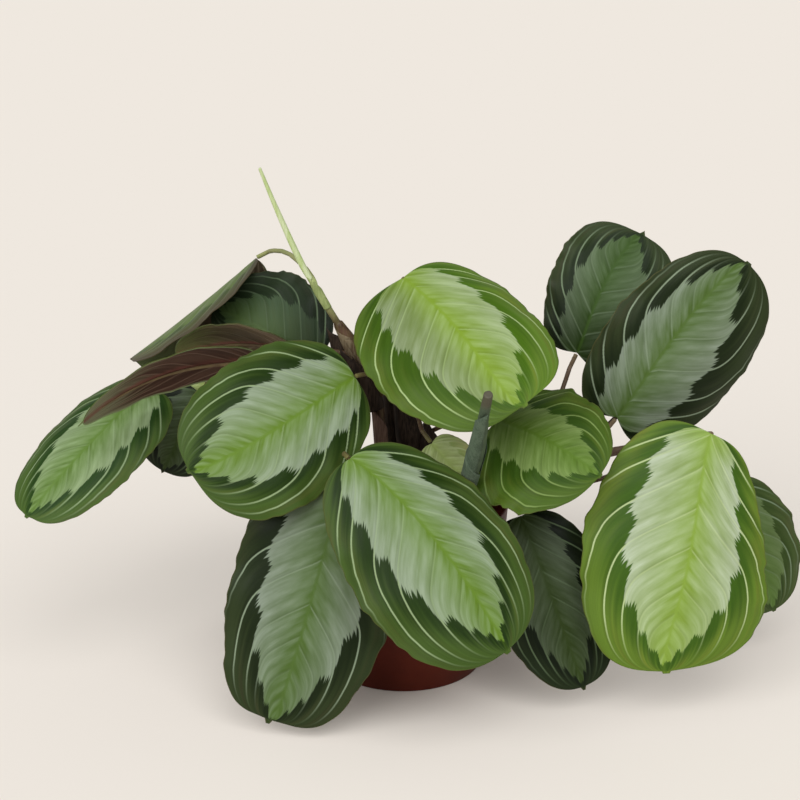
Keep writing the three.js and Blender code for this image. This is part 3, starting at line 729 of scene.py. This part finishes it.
undersides = {name: leaf_underside(name, colours) for name, colours in UNDERSIDES.items()}
print("undersides:", sorted(undersides))

# %% [markdown]
# ## All the leaves
# Each leaf of the tables becomes one piece, which replaces the solid of the same name. The seed is the leaf's
# place in the table, so every leaf has its own vein spacing and the script gives the same plant each time.

# %% Make the leaves
SHEET = 0.42
SEEDS_APART = 10
slots = {row["node"]: row["material_slot"] for row in frame["record"]["subparts"]}


def make_leaf(name, leaf, seed):
    """A blade with one skin above and another one below."""
    mesh = blade_mesh(name, leaf, seed)
    piece = object_from(name + "_blade", mesh, skins[leaf["skin"]], undersides[leaf["under"]])
    thicken(piece, SHEET, under=1)
    finish_piece(piece, slots[name], name)


for place, (name, leaf) in enumerate(leaves.items()):
    make_leaf(name, leaf, SEEDS_APART * place)

# %% [markdown]
# ## The midribs
# On the underside the midrib stands out as a round cord, thick where the leaf stalk joins it and gone near
# the tip. It is a grid rolled up into a tube along the blade's middle, just sunk in the sheet, and its two
# ends are drawn to a point, so that merging the doubles closes them. It also joins each blade to its stalk.

# %% The skin of the midribs
def rib_skin():
    """The fleshy cord of a midrib: satin, brown-green."""
    material, tree, shader = new_material("midrib_skin", 0.5, 0.2)
    patch = add(tree, "MapRange", grain(tree, 11.11), 0.35, 0.65, **SOFT)
    connect(tree, shader, {"Base Color": coats(tree, "#6e5a44", (patch, "#7e6c4c"))})
    return material


# %% Raised midribs
RIB_STEPS, RIB_SIDES = 28, 8
RIB_THICK, RIB_THIN = 1.25, 0.3
RIB_FROM, RIB_UNTIL = -0.012, 0.88


def raised_rib(name, leaf, material):
    """A tapered cord along the underside of the midrib."""
    v = np.linspace(RIB_FROM, RIB_UNTIL, RIB_STEPS + 1)
    inside = np.clip(v, 0, 1)
    _, length, axes = leaf_axes(leaf)
    line = blade_points(leaf, rib_line(leaf, inside), inside)
    along = np.gradient(line, axis=0)
    along[0] = along[1]
    line[0] += normalised(along[1]) * v[0] * length
    along = normalised(along)
    upward = normalised(axes[2] - along * (along @ axes[2])[:, None])
    aside = np.cross(along, upward)
    radius = RIB_THIN + (RIB_THICK - RIB_THIN) * (1 - inside / RIB_UNTIL)
    radius[0] = radius[-1] = 0
    centre = line - upward * (radius + CREASE * (1 - inside) ** CREASE_FADE)[:, None]
    bm = bmesh.new()
    bmesh.ops.create_grid(bm, x_segments=RIB_SIDES, y_segments=RIB_STEPS, size=1)
    for corner in bm.verts:
        turn, row = (corner.co.x + 1) * math.pi, round((corner.co.y + 1) * RIB_STEPS / 2)
        ring = aside[row] * math.cos(turn) + upward[row] * math.sin(turn)
        corner.co = Vector(centre[row] + ring * radius[row]) * MM
    bmesh.ops.remove_doubles(bm, verts=bm.verts, dist=1e-7)
    bmesh.ops.recalc_face_normals(bm, faces=bm.faces)
    finish_piece(object_from(name, mesh_from(bm, name), material), slots[name.removesuffix("_rib")])


midrib_skin = rib_skin()
for name, leaf in leaves.items():
    raised_rib(name + "_rib", leaf, midrib_skin)

# %% [markdown]
# ## The shoots
# A shoot is a round, fleshy stem with the leaf stalks growing from it. Its solid is made of plain tubes, so a
# copy of it is melted into one skin by a voxel remesh and smoothed, which rounds the facets and gives each
# fork the soft web that a real one has. The colour runs from red-brown on old stems to olive at the joint
# below each blade, and the newest stretch below the rolled leaf is still pale. Both are numbers from 0 to 1
# that are worked out for each point and kept on the mesh. The fibres of a stem are too fine to show, so they
# are drawn about 1 mm wide.

# %% The skin of the shoots
def stem_skin(name, old, young, joint, fresh):
    """A fleshy stem: dull satin, finely streaked, paler where it swells below a blade or is new."""
    material, tree, shader = new_material(name, 0.5, 0.3)
    near = add(tree, "Attribute", out="Fac", attribute_name="near_blade")
    newness = add(tree, "Attribute", out="Fac", attribute_name="freshness")
    fibre = grain(tree, 0.909, 8.333)
    patch = add(tree, "MapRange", grain(tree, 16.67, detail=3.0), 0.35, 0.65, **SOFT)
    streak = add(tree, "MapRange", fibre, 0.4, 0.7, 0.0, 0.35, **SOFT)
    connect(tree, shader, {
        "Base Color": coats(tree, old, (patch, young), (streak, joint), (near, joint), (newness, fresh)),
        "Normal": add(tree, "Bump", {"Strength": 0.3, "Distance": 0.4 * MM, "Height": fibre})})
    return material


petiole_skin = stem_skin("petiole_skin", "#3f2a1d", "#5f4736", "#6e6a3c", "#aebb78")
pink_petiole_skin = stem_skin("pink_petiole_skin", "#584536", "#7d6a5b", "#75664a", "#aebb78")


# %% A solid melted into one smooth skin
def melted_copy(node, name, voxel, rounds):
    """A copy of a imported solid, remeshed and smoothed."""
    bm = bmesh.new()
    bm.from_mesh(frame["nodes"][node].data)
    bmesh.ops.remove_doubles(bm, verts=bm.verts, dist=1e-6)
    mesh = mesh_from(bm, name)
    piece = object_from(name, mesh)
    melt = piece.modifiers.new("melt", "REMESH")
    melt.mode = "VOXEL"
    melt.voxel_size = voxel * MM
    soften = piece.modifiers.new("soften", "SMOOTH")
    soften.factor = 0.5
    soften.iterations = rounds
    work_in(piece)
    bpy.data.meshes.remove(mesh)
    return piece


def points_of(mesh):
    """The mesh's points in millimetres, as rows of an array."""
    corners = np.empty(len(mesh.vertices) * 3)
    mesh.vertices.foreach_get("co", corners)
    return corners.reshape(-1, 3) / MM


def keep_number(mesh, name, values):
    """Keeps one number for each point of the mesh."""
    layer = mesh.attributes.new(name, "FLOAT", "POINT")
    layer.data.foreach_set("value", np.clip(values, 0, 1).astype(np.float32))


# %% How old and how thick a stem is
JOINT_REACH = 11.0
FRESH_FROM, FRESH_TO = 206.0, 230.0
FRESH_SIDE, FRESH_LEFT = 6.0, -35
HIGH_STALK, STALK_FROM, STALK_FADE = 0.45, 1, 6
SLIM_WITHIN, SLIM_FADE = 9, 4


def mark_ages(mesh):
    """Keeps how near each point is to a blade's base, and how fresh the stem is there."""
    corners = points_of(mesh)
    bases = np.array([leaf["base"] for leaf in leaves.values()], float)
    distance = np.linalg.norm(corners[:, None] - bases[None], axis=-1).min(1)
    keep_number(mesh, "near_blade", 1 - distance / JOINT_REACH)
    height = (corners[:, 2] - FRESH_FROM) / (FRESH_TO - FRESH_FROM)
    in_line = 1 - np.maximum(np.abs(corners[:, 1]) - FRESH_SIDE, 0) / FRESH_SIDE
    behind = np.clip((corners[:, 1] - STALK_FROM) / STALK_FADE, 0, 1)
    stalk = HIGH_STALK * (corners[:, 2] > FRESH_FROM) * behind
    fresh = np.maximum(np.minimum(height, in_line), stalk)
    keep_number(mesh, "freshness", fresh * (corners[:, 0] < FRESH_LEFT))


def slim(mesh, route, share, low, high):
    """Draws a stem in towards its axis, more and more from one height up to another."""
    corners, route = points_of(mesh), np.array(route, float)
    axis = np.stack([np.interp(corners[:, 2], route[:, 2], route[:, place]) for place in (0, 1)], -1)
    away = np.linalg.norm(corners[:, :2] - axis, axis=-1)
    part = np.clip((corners[:, 2] - low) / (high - low), 0, 1)
    part *= np.clip((SLIM_WITHIN - away) / SLIM_FADE, 0, 1)
    corners[:, :2] += (axis - corners[:, :2]) * (part * (1 - share))[:, None]
    mesh.vertices.foreach_set("co", (corners * MM).ravel())
    mesh.update()


# %% Make the shoots
SHOOTS = ["main_shoot", "left_shoot", "centre_shoot", "front_shoot", "right_shoot", "low_right_shoot"]
SLIM_FROM, SLIM_TO = 196.0, 208.0
NEW_STEM = [
    (-31, 0, 197), (-47, 0, 224), (-51, 0, 231), (-56, 0, 240.5), (-64, 0, 259), (-72, 0, 279), (-78, 0, 295)]

for node in SHOOTS:
    shoot = melted_copy(node, node + "_skin", voxel=0.6, rounds=6)
    mark_ages(shoot.data)
    if node == "main_shoot":
        slim(shoot.data, NEW_STEM, share=0.7, low=SLIM_FROM, high=SLIM_TO)
    shoot.data.materials.append(pink_petiole_skin if node == "right_shoot" else petiole_skin)
    finish_piece(shoot, slots[node], node)

# %% [markdown]
# ## Leaf sheaths
# Where a leaf stalk leaves the shoot it is wrapped by a sheath, a thin papery sheet that is open down one
# side and ends in a slanted point. Old bracts are such sheets too, wider and near black: partly dried to a
# dark brown, partly painted shade that fills the dark gaps between the stems. Each is made as a grid laid
# round the stem, with its upper margin drawn down on one side, and a Solidify step gives it the thickness of
# paper. Its fibres are drawn coarser than real ones, which wouldn't show.

# %% Papery sheets
SHEATH_ROWS, SHEATH_COLUMNS = 18, 30
SHEATH_PAPER = 0.25
SHEATH_CLEAR, SHEATH_FLARE, SHEATH_OVERLAP = 0.25, 0.7, 0.35
SHEATH_BEND = 1.3


def papery(name, pale, dark):
    """Dry sheath tissue: thin, dull, with fine fibres along it."""
    material, tree, shader = new_material(name, 0.7, 0.2)
    fibre = grain(tree, 0.7143, 11.11)
    share = add(
        tree, "Math", fibre, 0.5, product(tree, grain(tree, 6.25, 16.67), 0.5), operation="MULTIPLY_ADD")
    connect(tree, shader, {
        "Base Color": coats(tree, dark, (add(tree, "MapRange", share, 0.38, 0.62, **SOFT), pale)),
        "Normal": add(tree, "Bump", {"Strength": 0.5, "Distance": 0.4 * MM, "Height": fibre})})
    return material


def sheath(name, route, radii, start, wrap, slant, material, slot_name):
    """A sheet round a stem, from one angle on through another, its upper margin falling on the way."""
    route, marks = np.array(route, float), np.linspace(0, 1, len(route))
    bm = bmesh.new()
    bmesh.ops.create_grid(bm, x_segments=SHEATH_COLUMNS, y_segments=SHEATH_ROWS, size=1)
    aim = Vector(route[-1] - route[0]).normalized()
    front = Vector((0, -1, 0))
    front = (front - aim * front.dot(aim)).normalized()
    for corner in bm.verts:
        across, up = (corner.co.x + 1) / 2, (corner.co.y + 1) / 2
        up *= 1 - slant * across**SHEATH_BEND
        centre = Vector([np.interp(up, marks, route[:, axis]) for axis in range(3)])
        flare = SHEATH_CLEAR + SHEATH_FLARE * up**3 + SHEATH_OVERLAP * across
        radius = np.interp(up, marks, radii) + flare
        turn = math.radians(start + wrap * across)
        corner.co = (centre + Matrix.Rotation(turn, 3, aim) @ front * radius) * MM
    bmesh.ops.recalc_face_normals(bm, faces=bm.faces)
    piece = object_from(name, mesh_from(bm, name), material)
    thicken(piece, SHEATH_PAPER)
    finish_piece(piece, slot_name)


# %% The sheaths and bracts of the shoots
dry_sheath = papery("dry_sheath", "#7d7058", "#55442f")
# Near-black bract paper: partly the dried brown of old bracts, partly painted shade in the gaps between the
# stems.
bract_with_painted_shade = papery("bract_with_painted_shade", "#3c3026", "#221912")
rosy_sheath = papery("rosy_sheath", "#7d6557", "#5a4439")
green_sheath = papery("green_sheath", "#a3ae74", "#84915a")
# Each row holds the points of its axis, the radii there, the first angle, the turn and the slant.
SHEATHS = {
    "joint_sheath": (
        [(-23, -2, 182), (-30, 0, 194), (-36.5, 0, 208)], (3.2, 3.8, 2.4), -150, 250, 0.55, dry_sheath),
    "joint_sheath_inner": (
        [(-18, -4, 178), (-25, -2, 188), (-31, 0, 198)], (3.6, 3.9, 4.0), -20, 220, 0.6, dry_sheath),
    "new_leaf_sheath": (
        [(-42, 0, 215), (-47, 0, 224), (-52, 0, 236)], (1.7, 1.9, 1.6), -100, 230, 0.6, green_sheath),
    "main_sheath_low": (
        [(-11, -8, 112), (-13, -8, 142), (-14.5, -6, 166)], (3.5, 3.4, 3.2), -150, 270, 0.5, rosy_sheath),
    "main_bract_low": (
        [(-16, -8, 158), (-19, -8, 172), (-25, -5, 190)], (4.5, 6, 3), -70, 160, 0.5, bract_with_painted_shade),
    "main_bract_high": (
        [(-19, -7, 160), (-26, -8, 178), (-33, -4, 197)], (5, 6, 2.5), -90, 170, 0.45, bract_with_painted_shade),
    "main_bract_back": (
        [(-24, 4, 164), (-32, 7, 182), (-39, 8, 203)], (5, 7, 3.5), -90, 180, 0.3, bract_with_painted_shade),
    "centre_sheath_low": (
        [(5, 8, 112), (2, 9, 138), (-1, 10, 160)], (3.6, 4.2, 3.8), -120, 280, 0.5, bract_with_painted_shade),
    "centre_bract_low": (
        [(4, 4, 116), (3, 1, 142), (-3, 2, 170)], (6, 7.5, 3), -80, 170, 0.4, bract_with_painted_shade),
    "centre_bract_left": (
        [(-3, 7, 116), (-6, 6, 142), (-8, 8, 172)], (4.5, 5.5, 3), -90, 180, 0.4, bract_with_painted_shade),
    "centre_bract_side": (
        [(8, 6, 112), (13, 2, 134), (17, 0, 152)], (4, 6, 2.5), -90, 180, 0.4, bract_with_painted_shade),
    "right_sheath": (
        [(48, 0, 108), (60, -3, 115), (71, -6, 121)], (2.9, 2.9, 2.8), -150, 250, 0.5, rosy_sheath),
    "right_sheath_high": (
        [(84, -9, 125.5), (93, -11, 128), (100, -12, 130)], (2.6, 2.8, 2.8), -150, 250, 0.5, rosy_sheath),
}
for name, row in SHEATHS.items():
    sheath(name, *row, "shoot")

# %% [markdown]
# ## The pruned shoot and the new leaf
# The old shoot in front was cut off above its sheaths, which still wrap it, one over the other. The skin is
# grey-green and dull, and the cut end above them has dried brown. The newest leaf is still rolled up like a
# thin cigar, pale green on the outside, greener along its overlap, with fine lines that run up it.

# %% The pruned shoot
CUT_FROM, CUT_TO = 195.0, 199.0
cut_skin = stem_skin("cut_shoot_skin", "#465342", "#586650", "#53604c", "#545042")
pruned = melted_copy("pruned_shoot", "pruned_shoot_skin", voxel=0.5, rounds=5)
heights = points_of(pruned.data)[:, 2]
keep_number(pruned.data, "freshness", (heights - CUT_FROM) / (CUT_TO - CUT_FROM))
pruned.data.materials.append(cut_skin)
finish_piece(pruned, slots["pruned_shoot"], "pruned_shoot")
old_sheath = papery("old_sheath", "#5c6b59", "#465445")
sheath("cut_sheath_low", [(31, -52, 122), (35, -61, 137), (38.6, -77, 160.4)], (4.2, 4.4, 4.5),
       -140, 300, 0.5, old_sheath, "cut_shoot")
sheath("cut_sheath_high", [(36, -66, 144), (39, -80, 164), (42.1, -103, 195)], (4.5, 4.4, 2.7),
       20, -300, 0.55, old_sheath, "cut_shoot")


# %% The rolled leaf
def rolled_skin():
    """The outside of a rolled leaf: pale green, blotched, with fine greener lines up it."""
    material, tree, shader = new_material("new_leaf_skin", 0.5, 0.3)
    lines = grain(tree, 0.7692, 40)
    blotch = add(tree, "MapRange", grain(tree, 3.846, 33.33), 0.35, 0.65, **SOFT)
    greener = add(tree, "MapRange", lines, 0.5, 0.75, 0.0, 0.5, **SOFT)
    connect(tree, shader, {
        "Base Color": coats(tree, "#b4c487", (blotch, "#c9d3a8"), (greener, "#98ad66")),
        "Normal": add(tree, "Bump", {"Strength": 0.3, "Distance": 0.3 * MM, "Height": lines})})
    return material


spike = melted_copy("rolled_leaf", "rolled_leaf_skin", voxel=0.4, rounds=4)
slim(spike.data, NEW_STEM, share=0.72, low=SLIM_FROM, high=SLIM_TO)
spike.data.materials.append(rolled_skin())
finish_piece(spike, slots["rolled_leaf"], "rolled_leaf")

# %% [markdown]
# ## The pot
# A nursery pot is injection moulded from recycled polypropylene: thin, dark red-brown, satin, with a stepped
# rim that stiffens it and ends in a small rolled lip. It is a turned shape, so its section is drawn once and
# spun round the axis. The drain holes are cut with one mesh that holds all the cutters. The mould's own
# grain is far finer than the 0.7 mm of the bumps here, which are as fine as the picture can show.

# %% The pot's plastic
def pot_plastic():
    """Moulded polypropylene: cloudy from the recycled mix, satin, faintly grained."""
    material, tree, shader = new_material("moulded_polypropylene", 0.42, 0.14, 1.49)
    cloud = grain(tree, 40, detail=4.0)
    browner = add(tree, "MapRange", cloud, 0.3, 0.7, **SOFT)
    mould_grain = grain(tree, 0.7143, detail=1.0)
    connect(tree, shader, {
        "Base Color": coats(tree, "#4a170b", (browner, "#5c2213")),
        "Roughness": add(tree, "MapRange", cloud, 0.3, 0.7, 0.38, 0.5, **SOFT),
        "Normal": add(tree, "Bump", {"Strength": 0.12, "Distance": 0.3 * MM, "Height": mould_grain})})
    return material


# %% The pot's section
POT_BASE, POT_SHOULDER, POT_RIM, POT_HEIGHT = 46, 56, 60, 100
RIM_DEPTH, POT_WALL, POT_FLOOR = 12, 1.4, 2
DRAIN_RADIUS, DRAIN_RING, DRAINS = 4, 34, 6
SPIN_STEPS, LIP_STEPS, DRAIN_STEPS = 96, 6, 24
EDGE_WIDTH, SHARP_EDGE = 0.25, math.radians(35)


def pot_section():
    """Radius and height of each corner of the pot's section, up the outside and down the inside."""
    foot = POT_HEIGHT - RIM_DEPTH
    lip = POT_WALL / 2
    lip_points = [
        (POT_RIM - lip + lip * math.cos(turn), POT_HEIGHT - lip + lip * math.sin(turn))
        for turn in (math.pi * step / LIP_STEPS for step in range(LIP_STEPS + 1))]
    return [
        (0, 0.6), (POT_BASE - 6, 0.6), (POT_BASE - 5, 0), (POT_BASE - 1.2, 0), (POT_BASE - 0.4, 0.4),
        (POT_BASE, 1.2), (POT_SHOULDER, foot), (POT_RIM - 1.2, foot + 0.7), (POT_RIM - 0.8, foot + 1.4),
        *lip_points, (POT_RIM - 0.8 - POT_WALL, foot + 2.4), (POT_SHOULDER - POT_WALL, foot + 1),
        (POT_BASE - POT_WALL, POT_FLOOR), (0, POT_FLOOR)]


def spun(name, section, steps):
    """The section turned once round the upright axis."""
    bm = bmesh.new()
    corners = [bm.verts.new((radius * MM, 0, height * MM)) for radius, height in section]
    edges = [bm.edges.new(pair) for pair in zip(corners, corners[1:])]
    bmesh.ops.spin(
        bm, geom=corners + edges, cent=(0, 0, 0), axis=(0, 0, 1), angle=2 * math.pi, steps=steps,
        use_merge=True)
    bmesh.ops.remove_doubles(bm, verts=bm.verts, dist=1e-6)
    bmesh.ops.recalc_face_normals(bm, faces=bm.faces)
    return mesh_from(bm, name)


def drain_cutters():
    """One mesh with a cylinder at the place of each drain hole."""
    bm = bmesh.new()
    for hole in range(DRAINS):
        turn = 2 * math.pi * hole / DRAINS
        place = Vector((DRAIN_RING * math.cos(turn), DRAIN_RING * math.sin(turn), POT_FLOOR / 2)) * MM
        bmesh.ops.create_cone(
            bm, cap_ends=True, segments=DRAIN_STEPS, radius1=DRAIN_RADIUS * MM, radius2=DRAIN_RADIUS * MM,
            depth=(POT_FLOOR + 4) * MM, matrix=Matrix.Translation(place))
    return object_from("drain_cutters", mesh_from(bm, "drain_cutters"))


# %% Spin and drill the pot
pot = object_from("pot_moulding", spun("pot_moulding", pot_section(), SPIN_STEPS), pot_plastic())
cutters = drain_cutters()
drill = pot.modifiers.new("drain holes", "BOOLEAN")
drill.object = cutters
drill.operation = "DIFFERENCE"
work_in(pot)
bpy.data.objects.remove(cutters)
soften = pot.modifiers.new("moulded edges", "BEVEL")
soften.width = EDGE_WIDTH * MM
soften.segments = 2
soften.limit_method = "ANGLE"
soften.angle_limit = SHARP_EDGE
finish_piece(pot, slots["pot"], "pot")

# %% [markdown]
# ## The soil
# The pot is filled with peat. Its top is crumbly, so the solid's copy is melted into a finer surface, pushed
# up and down by noise, and strewn with loose crumbs: small faceted lumps of many sizes, half sunk in it.

# %% Peat
def peat():
    """Damp peat: matt, near black, in crumbs of about 3 mm that differ in brown."""
    material, tree, shader = new_material("peat", 0.95, 0.1)
    place = add(tree, "TexCoord", out="Object")
    crumb = add(tree, "TexVoronoi", {"Vector": place, "Scale": per(3.03)}, out="Color")
    height = add(
        tree, "Math", grain(tree, 2, detail=4.0), crumb.node.outputs["Distance"], operation="SUBTRACT")
    connect(tree, shader, {
        "Base Color": coats(tree, "#1d1510", (add(tree, "SeparateXYZ", crumb), "#43321f")),
        "Normal": add(tree, "Bump", {"Strength": 0.9, "Distance": 1.5 * MM, "Height": height})})
    return material


# %% Loose crumbs
SOIL_TOP, SOIL_EDGE = 88.0, 51.0
SOIL_LUMP, SOIL_WAVE_X, SOIL_WAVE_Y = 1.2, 6.0, 7.0
CRUMBS, CRUMB_SIZE, CRUMB_SEED = 900, 1.9, 88
SHOOT_FEET = ((-9, -8), (-27, 5), (7, 8), (-26, -24), (31, 4), (37, -16), (22, -35))
FOOT_RADIUS = 5.5


def crumb_mesh():
    """Loose crumbs strewn over the soil, clear of the shoots."""
    rng = np.random.default_rng(CRUMB_SEED)
    bm = bmesh.new()
    for _ in range(CRUMBS):
        spread, turn = SOIL_EDGE * rng.uniform() ** 0.5, rng.uniform(0, 2 * math.pi)
        x, y = spread * math.cos(turn), spread * math.sin(turn)
        size = rng.uniform(0.5, 1.0) ** 2 * CRUMB_SIZE
        if min(math.hypot(x - fx, y - fy) for fx, fy in SHOOT_FEET) < FOOT_RADIUS + size:
            continue
        z = SOIL_TOP + SOIL_LUMP * math.sin(x / SOIL_WAVE_X) * math.cos(y / SOIL_WAVE_Y)
        shape = Matrix.Diagonal((rng.uniform(0.7, 1.3), rng.uniform(0.7, 1.3), rng.uniform(0.5, 0.9), 1))
        spin = Matrix.Rotation(rng.uniform(0, math.pi), 4, Vector(rng.uniform(-1, 1, 3)).normalized())
        place = Matrix.Translation(Vector((x, y, z)) * MM) @ spin @ shape
        made = bmesh.ops.create_icosphere(bm, subdivisions=1, radius=size * MM, matrix=place)
        for corner in made["verts"]:
            corner.co += Vector(rng.uniform(-0.25, 0.25, 3)) * size * MM
    return mesh_from(bm, "peat_crumbs", smooth=False)


# %% Fill the pot
LUMPY_FROM, LUMP_HEIGHT, LUMP_WIDTH = 84, 0.8, 5

peat_look = peat()
soil = melted_copy("soil", "peat_filling", voxel=1.6, rounds=2)
soil.data.materials.append(peat_look)
for corner in soil.data.vertices:
    if corner.co.z > LUMPY_FROM * MM:
        corner.co.z += LUMP_HEIGHT * MM * noise.noise(corner.co / (LUMP_WIDTH * MM))
finish_piece(soil, slots["soil"], "soil")
finish_piece(object_from("peat_crumbs", crumb_mesh(), peat_look), slots["soil"])

# %% [markdown]
# ## The studio
# The plant was photographed on pale paper between two big soft lights, one high in front and one lower, to
# the left, with a pale room all round: shadows are faint and the paper shows no horizon. The lens looks down
# far enough for one flat sheet of paper to fill the whole frame, so a wide floor is all that is needed. Two
# suns with wide discs light it as evenly as softboxes would. Part of the paper's light is a painted glow of
# its own, which stands for the retouched, almost white ground of such pictures and keeps the shadows pale.
# Close round the pot it glows less, so the pot stands in a soft dark ring, a painted shadow.

# %% Paper floor
PAPER_SIZE = 40
PAPER_GLOW, CONTACT_GLOW = 0.35, 0.06
CONTACT_FROM, CONTACT_TO = 0.055, 0.14


def paper_floor():
    """Matt paper with a painted glow of its own, dimmed round the pot into a painted shadow."""
    bm = bmesh.new()
    bmesh.ops.create_grid(bm, x_segments=1, y_segments=1, size=PAPER_SIZE)
    material, tree, shader = new_material("background_paper", 1.0, 0.0)
    paper = paint("#efe8df")
    place = add(tree, "TexCoord", out="Object")
    from_pot = add(tree, "VectorMath", place, out="Value", operation="LENGTH")
    # A painted glow, weaker near the pot as a painted contact shadow.
    glow = add(tree, "MapRange", from_pot, CONTACT_FROM, CONTACT_TO, CONTACT_GLOW, PAPER_GLOW, **SOFT)
    connect(tree, shader, {
        "Base Color": coats(tree, paper, (glow, "#000000")),
        "Emission Color": paper,
        "Emission Strength": glow})
    piece = object_from("paper_floor", mesh_from(bm, "paper", smooth=False), material)


paper_floor()

# %% Lights
SOFTBOXES = {
    "softbox_right": dict(share=0.3, height=50, side=18, width=40),
    "softbox_left": dict(share=0.3, height=36, side=-38, width=45),
}


def softbox(name, share, height, side, width):
    """A sun that gives the floor a share of its light, from so many degrees up and to the side."""
    height, side = math.radians(height), math.radians(side)
    data = bpy.data.lights.new(name, "SUN")
    data.angle = math.radians(width)
    data.energy = share * math.pi / math.sin(height)
    lamp = bpy.data.objects.new(name, data)
    bpy.context.scene.collection.objects.link(lamp)
    toward = Vector((math.sin(side) * math.cos(height), -math.cos(side) * math.cos(height), math.sin(height)))
    lamp.rotation_euler = (-toward).to_track_quat("-Z", "Y").to_euler()


for name, settings in SOFTBOXES.items():
    softbox(name, **settings)
room = 1 - sum(settings["share"] for settings in SOFTBOXES.values())
world = bpy.data.worlds.new("pale_room")
bpy.context.scene.world = world
world.use_nodes = True
world.node_tree.nodes["Background"].inputs[0].default_value = (1, 1, 1, 1)
world.node_tree.nodes["Background"].inputs[1].default_value = room
bpy.context.scene.view_settings.view_transform = "Standard"
print("share of the room's light:", round(room, 2))

# %% [markdown]
# ## The camera
# The photograph was taken with a long lens from a little above the leaves, so the camera stands 1.25 m away
# and looks down by 21 degrees at a point above the pot.

# %% Camera
ELEVATION = math.radians(21)
DISTANCE = 1.25
AIM = Vector((-0.002, 0, 0.1605))
camera_data = bpy.data.cameras.new("camera")
camera_data.lens = 100
camera_data.sensor_width = 36
camera = bpy.data.objects.new("camera", camera_data)
bpy.context.scene.collection.objects.link(camera)
look = Vector((0, math.cos(ELEVATION), -math.sin(ELEVATION)))
camera.location = AIM - look * DISTANCE
camera.rotation_euler = look.to_track_quat("-Z", "Y").to_euler()
bpy.context.scene.camera = camera
print("camera at", tuple(round(value, 3) for value in camera.location))
